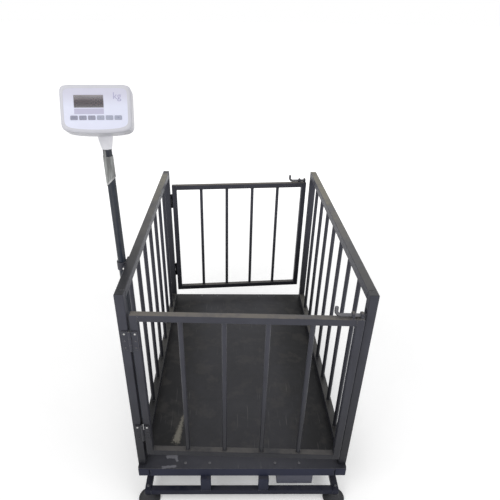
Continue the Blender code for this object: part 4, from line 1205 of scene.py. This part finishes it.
class CRATE_OT_mast(Operator):
    """Cuts the mast, wraps its top in film and bolts its clamps on"""

    bl_idname = "crate.mast"
    bl_label = "Mast"

    def execute(self, context):
        low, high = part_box("mast")
        line = middle("mast")
        radius = (high.x - low.x) / 2
        mast = begin("cylinder", line, vertices=64, radius=radius, depth=high.z - low.z)
        rounded(bored(mast, axis=2, wall=0.002), 0.0004, angle=60.0)
        settle(mast, "mast_tube", "frame", mast_paint(), "black_paint", "mast")
        self.wrap(line, radius, high.z)
        clamp_foot, apart = 0.0040, 0.0285
        for level in LEVELS:
            node = f"mast_clamp_{level}"
            refinish(node, 0.0007, "formed", "frame", worn_paint(), "black_paint")
            x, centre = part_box(node)[1].x - clamp_foot, middle(node)
            rows = (centre.y - apart, centre.y + apart)
            matrices = [at(x, y, centre.z) @ facing(-1, 0, 0) for y in rows]
            head = hex_bolt(across=0.0085, height=0.004)
            fasten(f"{node}_bolts", "frame", head, matrices, "zinc", 0.3)
        return {"FINISHED"}

    def wrap(self, line, radius, top):
        """Film round the mast with tape on its slanting end, and a narrow pale strip of film over it
        that stands for a painted highlight.
        """
        lean = Vector((-0.9, 0, 1)).normalized()
        start = 1.20
        end = Vector((line.x, line.y, 1.2418))
        tape = [(end - 0.0035 * Z, lean), (end + 0.0025 * Z, -lean)]
        strip = [(line - 0.0085 * X, X), (line - 0.0020 * X, -X), (line, -Y)]
        for name, tint, proud, low, high, cuts in (
            ("mast_film", "film", 0.0020, start, top - 0.021, [(end, lean)]),
            ("mast_tape", "band", 0.0026, start, top - 0.030, tape),
            # A pale strip of film under the neck stands for a painted highlight on the mast.
            ("mast_film_strip", "film", 0.0008, top - 0.030, top - 0.001, strip),
        ):
            sleeve = self.sleeve(line, radius + proud, low, high, cuts)
            settle(sleeve, name, "frame", mast_film(tint), "grey_plastic")

    def sleeve(self, line, radius, low, high, cuts):
        """A sleeve round the mast, cut off by slanting planes."""
        place = (line.x, line.y, (low + high) / 2)
        obj = begin("cylinder", place, vertices=48, radius=radius, depth=high - low)
        with editing(obj):
            for spot, normal in cuts:
                pick_all()
                bpy.ops.mesh.bisect(plane_co=spot, plane_no=normal, use_fill=True, clear_inner=True)
            face_out()
        return obj


def stance():
    """Turns and tilts the indicator from square with the crate to how it stands at rest."""
    hinge = JOINTS["indicator_tilt"]
    press = JOINTS["key_1_press"]["axis"]
    turn = math.atan2(-hinge["axis"][1], -hinge["axis"][0])
    tilt = math.asin(press[2])
    turned_up = Matrix.Rotation(turn, 4, "Z") @ Matrix.Rotation(tilt, 4, "X")
    return at(*hinge["pos_m"]) @ turned_up @ at(*-Vector(hinge["pos_m"]))


def extent(points):
    """The lowest and highest corners of some points."""
    return [Vector([bound(point[k] for point in points) for k in range(3)]) for bound in (min, max)]


def square_box(node):
    """The corners of a piece of the indicator, with the indicator square with the crate."""
    back = stance().inverted()
    return extent([back @ vertex.co for vertex in NODES[node].data.vertices])


def squared(node):
    """A copy of a piece of the indicator, square with the crate."""
    return moved(refined(node, 0.0), stance().inverted())


def settle_on_face(obj, *terms):
    """Settles a piece that was made square with the crate, on the indicator as it stands at rest."""
    settle(moved(obj, stance()), *terms)


class CRATE_OT_bracket(Operator):
    """Finishes the swivel bracket and the tilt knob"""

    bl_idname = "crate.bracket"
    bl_label = "Swivel Bracket"

    def execute(self, context):
        for node, radius, material, slot in (
            # The bracket's paler white is painted light.
            ("indicator_bracket", 0.0006, moulded_plastic("neck", 0.36), "white_plastic"),
            ("tilt_knob", 0.0005, moulded_plastic("knob", 0.4), "knob_plastic"),
        ):
            refinish(node, radius, "moulded", node, material, slot)
        return {"FINISHED"}


class CRATE_OT_housing(Operator):
    """Finishes the indicator's shells, lays the printed film on its face and screws its back on"""

    bl_idname = "crate.housing"
    bl_label = "Indicator Housing"

    def execute(self, context):
        white = moulded_plastic("housing", 0.32)
        for node in ("indicator_front_shell", "indicator_rear_shell"):
            refinish(node, 0.0, "moulded", "indicator", white, "white_plastic")
        self.lay_film()
        self.screw_back()
        return {"FINISHED"}

    def lay_film(self):
        """A film on the flat of the face, at the window's level."""
        level = square_box("display_window")[0].y
        film = squared("indicator_front_shell")
        with editing(film):
            pick(
                "faces",
                lambda face: face.normal.y > -0.99 or abs(face.calc_center_median().y - level) > 0.0003,
            )
            bpy.ops.mesh.delete(type="FACE")
        thickened(film, 0, -0.0004, 0)
        settle_on_face(film, "indicator_face_film", "indicator", face_print(), "white_plastic")

    def screw_back(self):
        """Four screws in the corners of the back's flat face."""
        shell = squared("indicator_rear_shell")
        flats = [face for face in shell.data.polygons if face.normal.y > 0.99]
        level = max(flats, key=lambda face: face.area).center.y
        back = [face for face in flats if abs(face.center.y - level) < 0.0001]
        low, high = extent([shell.data.vertices[k].co for face in back for k in face.vertices])
        spare(shell)
        places = [at(x, level - 0.0003, z) for x, z in corner_places(low, high, 0.012)]
        matrices = [stance() @ place @ facing(0, 1, 0) for place in places]
        head = screw_head(diameter=0.0062, height=0.0020)
        fasten("indicator_back_screws", "indicator", head, matrices, "dull_zinc", 0.4)


class CRATE_OT_display(Operator):
    """Fits the smoked window, the display's digits, the printed strip and the unit"""

    bl_idname = "crate.display"
    bl_label = "Display"

    def execute(self, context):
        low, high = square_box("display_window")
        pane = plate(low, high, axis=1, corner=0.001, segments=3, edge=0.0002)
        smoked = smoked_window()
        settle_on_face(pane, "display_pane", "indicator", smoked, "dark_window", "display_window")
        centre = (low + high) / 2
        behind = min(square_box("display_module")[0].y, high.y + 0.002) - 0.0002
        digits = self.digits(Vector((centre.x, behind, centre.z)))
        settle_on_face(digits, "display_digits", "indicator", display_strokes(), "dark_window")
        face, gap = low.y - 0.00042, 0.0025
        strip_low = (low.x, face - 0.0001, square_box("key_1")[1].z + gap)
        strip = block(strip_low, (high.x, face + 0.0002, low.z - gap), radius=0.00005, segments=1)
        printed, ink = moulded_plastic("strip", 0.4), moulded_plastic("unit_ink", 0.4)
        settle_on_face(strip, "face_strip", "indicator", printed, "white_plastic")
        words = lettering("kg", 0.025, (high.x + 0.036, face, centre.z + 0.013), depth=0.0001)
        settle_on_face(words, "face_unit", "indicator", ink, "grey_plastic")
        return {"FINISHED"}

    def digits(self, centre):
        """Six figures of seven strokes in a row."""
        count, pitch, thickness = 6, 0.0126, 0.0002
        reach = sizes().digit_height / 2
        stroke = begin("circle", vertices=6, radius=0.5, fill_type="NGON")
        moved(stroke, LYING @ Matrix.Diagonal((1, 0.28, 1, 1)))
        strokes = [(0, 0, 0), (0, reach, 0), (0, -reach, 0)]
        strokes += [(x, z, 1) for x in (-0.5, 0.5) for z in (-0.5 * reach, 0.5 * reach)]
        size = Matrix.Diagonal((0.86 * reach, 1, 0.86 * reach, 1))
        matrices = []
        for k in range(count):
            aside = (k - (count - 1) / 2) * pitch
            for x, z, upright in strokes:
                place = at(centre.x + aside + x * reach, centre.y, centre.z + z)
                matrices.append(place @ Matrix.Rotation(QUARTER * upright, 4, "Y") @ size)
        digits = joined(repeated(stroke, matrices))
        return thickened(digits, 0, -thickness, 0)


class CRATE_OT_keys(Operator):
    """Moulds the key caps with their legends"""

    bl_idname = "crate.keys"
    bl_label = "Keys"

    def execute(self, context):
        for number, words in enumerate(("ON", "0", "T", "+", "-", "OK"), 1):
            node = f"key_{number}"
            tint = "keys" if number > 3 else "dark_keys"
            refinish(node, 0.0003, "moulded", node, moulded_plastic(tint, 0.4), "key_plastic")
            low, high = square_box(node)
            centre = (low + high) / 2
            legend = lettering(words, 0.0055, (centre.x, low.y - 0.00002, centre.z), depth=0.00006)
            ink = moulded_plastic("print_ink", 0.4)
            settle_on_face(legend, f"{node}_legend", node, ink, "key_plastic")
        return {"FINISHED"}


class CRATE_OT_boards(Operator):
    """Finishes the boards, the display module and the battery"""

    bl_idname = "crate.boards"
    bl_label = "Boards"

    def execute(self, context):
        for node, material in (
            ("display_module", battery_case()),
            ("main_board", circuit_board()),
            ("summing_board", circuit_board()),
            ("battery", battery_case()),
        ):
            NODES[node].data.materials.clear()
            NODES[node].data.materials.append(material)
        return {"FINISHED"}


class CRATE_OT_stage(Operator):
    """Sets the floor, the light and the camera"""

    bl_idname = "crate.stage"
    bl_label = "Stage"

    def execute(self, context):
        scene = context.scene
        scene.view_settings.view_transform = "Standard"
        floor = begin("circle", (0, 0, -0.0005), vertices=96, radius=60.0, fill_type="NGON")
        floor.name = "floor"
        floor.data.materials.append(self.floor_finish())
        self.light_world(scene)
        side, target = 2.4, Vector((0, 0, 0.6))
        for name, place, power in (
            ("key", (-2.2, -2.6, 3.6), 62.0),
            ("fill", (2.8, -2.0, 2.4), 30.0),
            ("back", (0.6, 3.0, 3.4), 30.0),
        ):
            bpy.ops.object.select_all(action="DESELECT")
            bpy.ops.object.light_add(type="AREA", location=place)
            lamp = context.active_object
            lamp.name = f"{name}_lamp"
            lamp.data.energy = power
            lamp.data.size = side
            lamp.rotation_euler = (target - Vector(place)).to_track_quat("-Z", "Y").to_euler()
        self.aim_camera(scene)
        return {"FINISHED"}

    def seen(self, nodes):
        """1 for what the camera sees itself, in a mirror or through glass."""
        kinds = ("Camera", "Glossy", "Transmission")
        camera, glossy, through = [nodes.node("LightPath", output=f"Is {kind} Ray") for kind in kinds]
        return nodes.between(camera + glossy + through, 0.0, 1.0)

    def floor_finish(self):
        finish = Finish("pale_floor", Specular_IOR_Level=0.1, Emission_Color=(1.0, 1.0, 1.0))
        distance = finish.node("VectorMath", {"operation": "LENGTH"}, {0: finish.place}, "Value")
        lift = 0.28 + 0.36 * finish.between(distance, 1.0, 3.5)
        finish.feed(finish.shader.inputs["Emission Strength"], lift * self.seen(finish))
        grain = finish.noise(3.0, 3.0)
        base = finish.shaded(colours().floor, 0.98 + 0.04 * grain)
        return finish.surface(base, 0.8 + 0.05 * grain)

    def light_world(self, scene):
        scene.world = bpy.data.worlds.new("studio")
        scene.world.use_nodes = True
        nodes = Nodes(scene.world.node_tree)
        background = nodes.tree.nodes["Background"]
        nodes.feed(background.inputs["Color"], (1.0, 1.0, 1.0))
        nodes.feed(background.inputs["Strength"], 0.55 + 0.45 * self.seen(nodes))

    def aim_camera(self, scene):
        """Stands the camera where the crate is seen from the front and above."""
        bpy.ops.object.select_all(action="DESELECT")
        bpy.ops.object.camera_add()
        camera = bpy.context.active_object
        yaw, pitch, roll = 0.01423, 0.53843, 0.01105
        back, height = Vector((-0.05299, -1.74773)), 1.70328
        right = Vector((math.cos(yaw), -math.sin(yaw), 0))
        forward = Vector((math.sin(yaw), math.cos(yaw), 0))
        ahead = math.cos(pitch) * forward - math.sin(pitch) * Z
        up = right.cross(ahead)
        level = right * math.cos(roll) + up * math.sin(roll)
        upright = up * math.cos(roll) - right * math.sin(roll)
        turn = Matrix((level, upright, -ahead)).transposed().to_4x4()
        place = middle("deck_plate").xy + back
        camera.matrix_world = at(*place, height) @ turn
        camera.data.lens = 32.911
        camera.data.sensor_width = 36.0
        camera.data.shift_x = 0.03
        camera.data.shift_y = 0.0586
        scene.camera = camera


class CRATE_PT_sidebar(Panel):
    """Lists the crate's pieces in the 3D view's sidebar"""

    bl_idname = "CRATE_PT_sidebar"
    bl_label = "Weigh Crate"
    bl_space_type = "VIEW_3D"
    bl_region_type = "UI"
    bl_category = "Weigh Crate"

    def draw(self, context):
        for operator in OPERATORS:
            self.layout.operator(operator.bl_idname)
        for group in (context.scene.crate_sizes, context.scene.crate_colours):
            for name in group.__annotations__:
                self.layout.prop(group, name)


OPERATORS = (
    CRATE_OT_side_panels,
    CRATE_OT_gates,
    CRATE_OT_slide_bolts,
    CRATE_OT_hinges,
    CRATE_OT_deck,
    CRATE_OT_platform,
    CRATE_OT_base,
    CRATE_OT_load_cells,
    CRATE_OT_feet,
    CRATE_OT_junction_box,
    CRATE_OT_mast,
    CRATE_OT_bracket,
    CRATE_OT_housing,
    CRATE_OT_display,
    CRATE_OT_keys,
    CRATE_OT_boards,
    CRATE_OT_stage,
)
CLASSES = (CrateSizes, CrateColours, *OPERATORS, CRATE_PT_sidebar)


def register():
    for kind in CLASSES:
        bpy.utils.register_class(kind)
    bpy.types.Scene.crate_sizes = PointerProperty(type=CrateSizes)
    bpy.types.Scene.crate_colours = PointerProperty(type=CrateColours)


def unregister():
    del bpy.types.Scene.crate_colours
    del bpy.types.Scene.crate_sizes
    for kind in reversed(CLASSES):
        bpy.utils.unregister_class(kind)


def main():
    register()
    for operator in OPERATORS:
        group, name = operator.bl_idname.split(".")
        getattr(getattr(bpy.ops, group), name)()


if __name__ == "__main__":
    main()
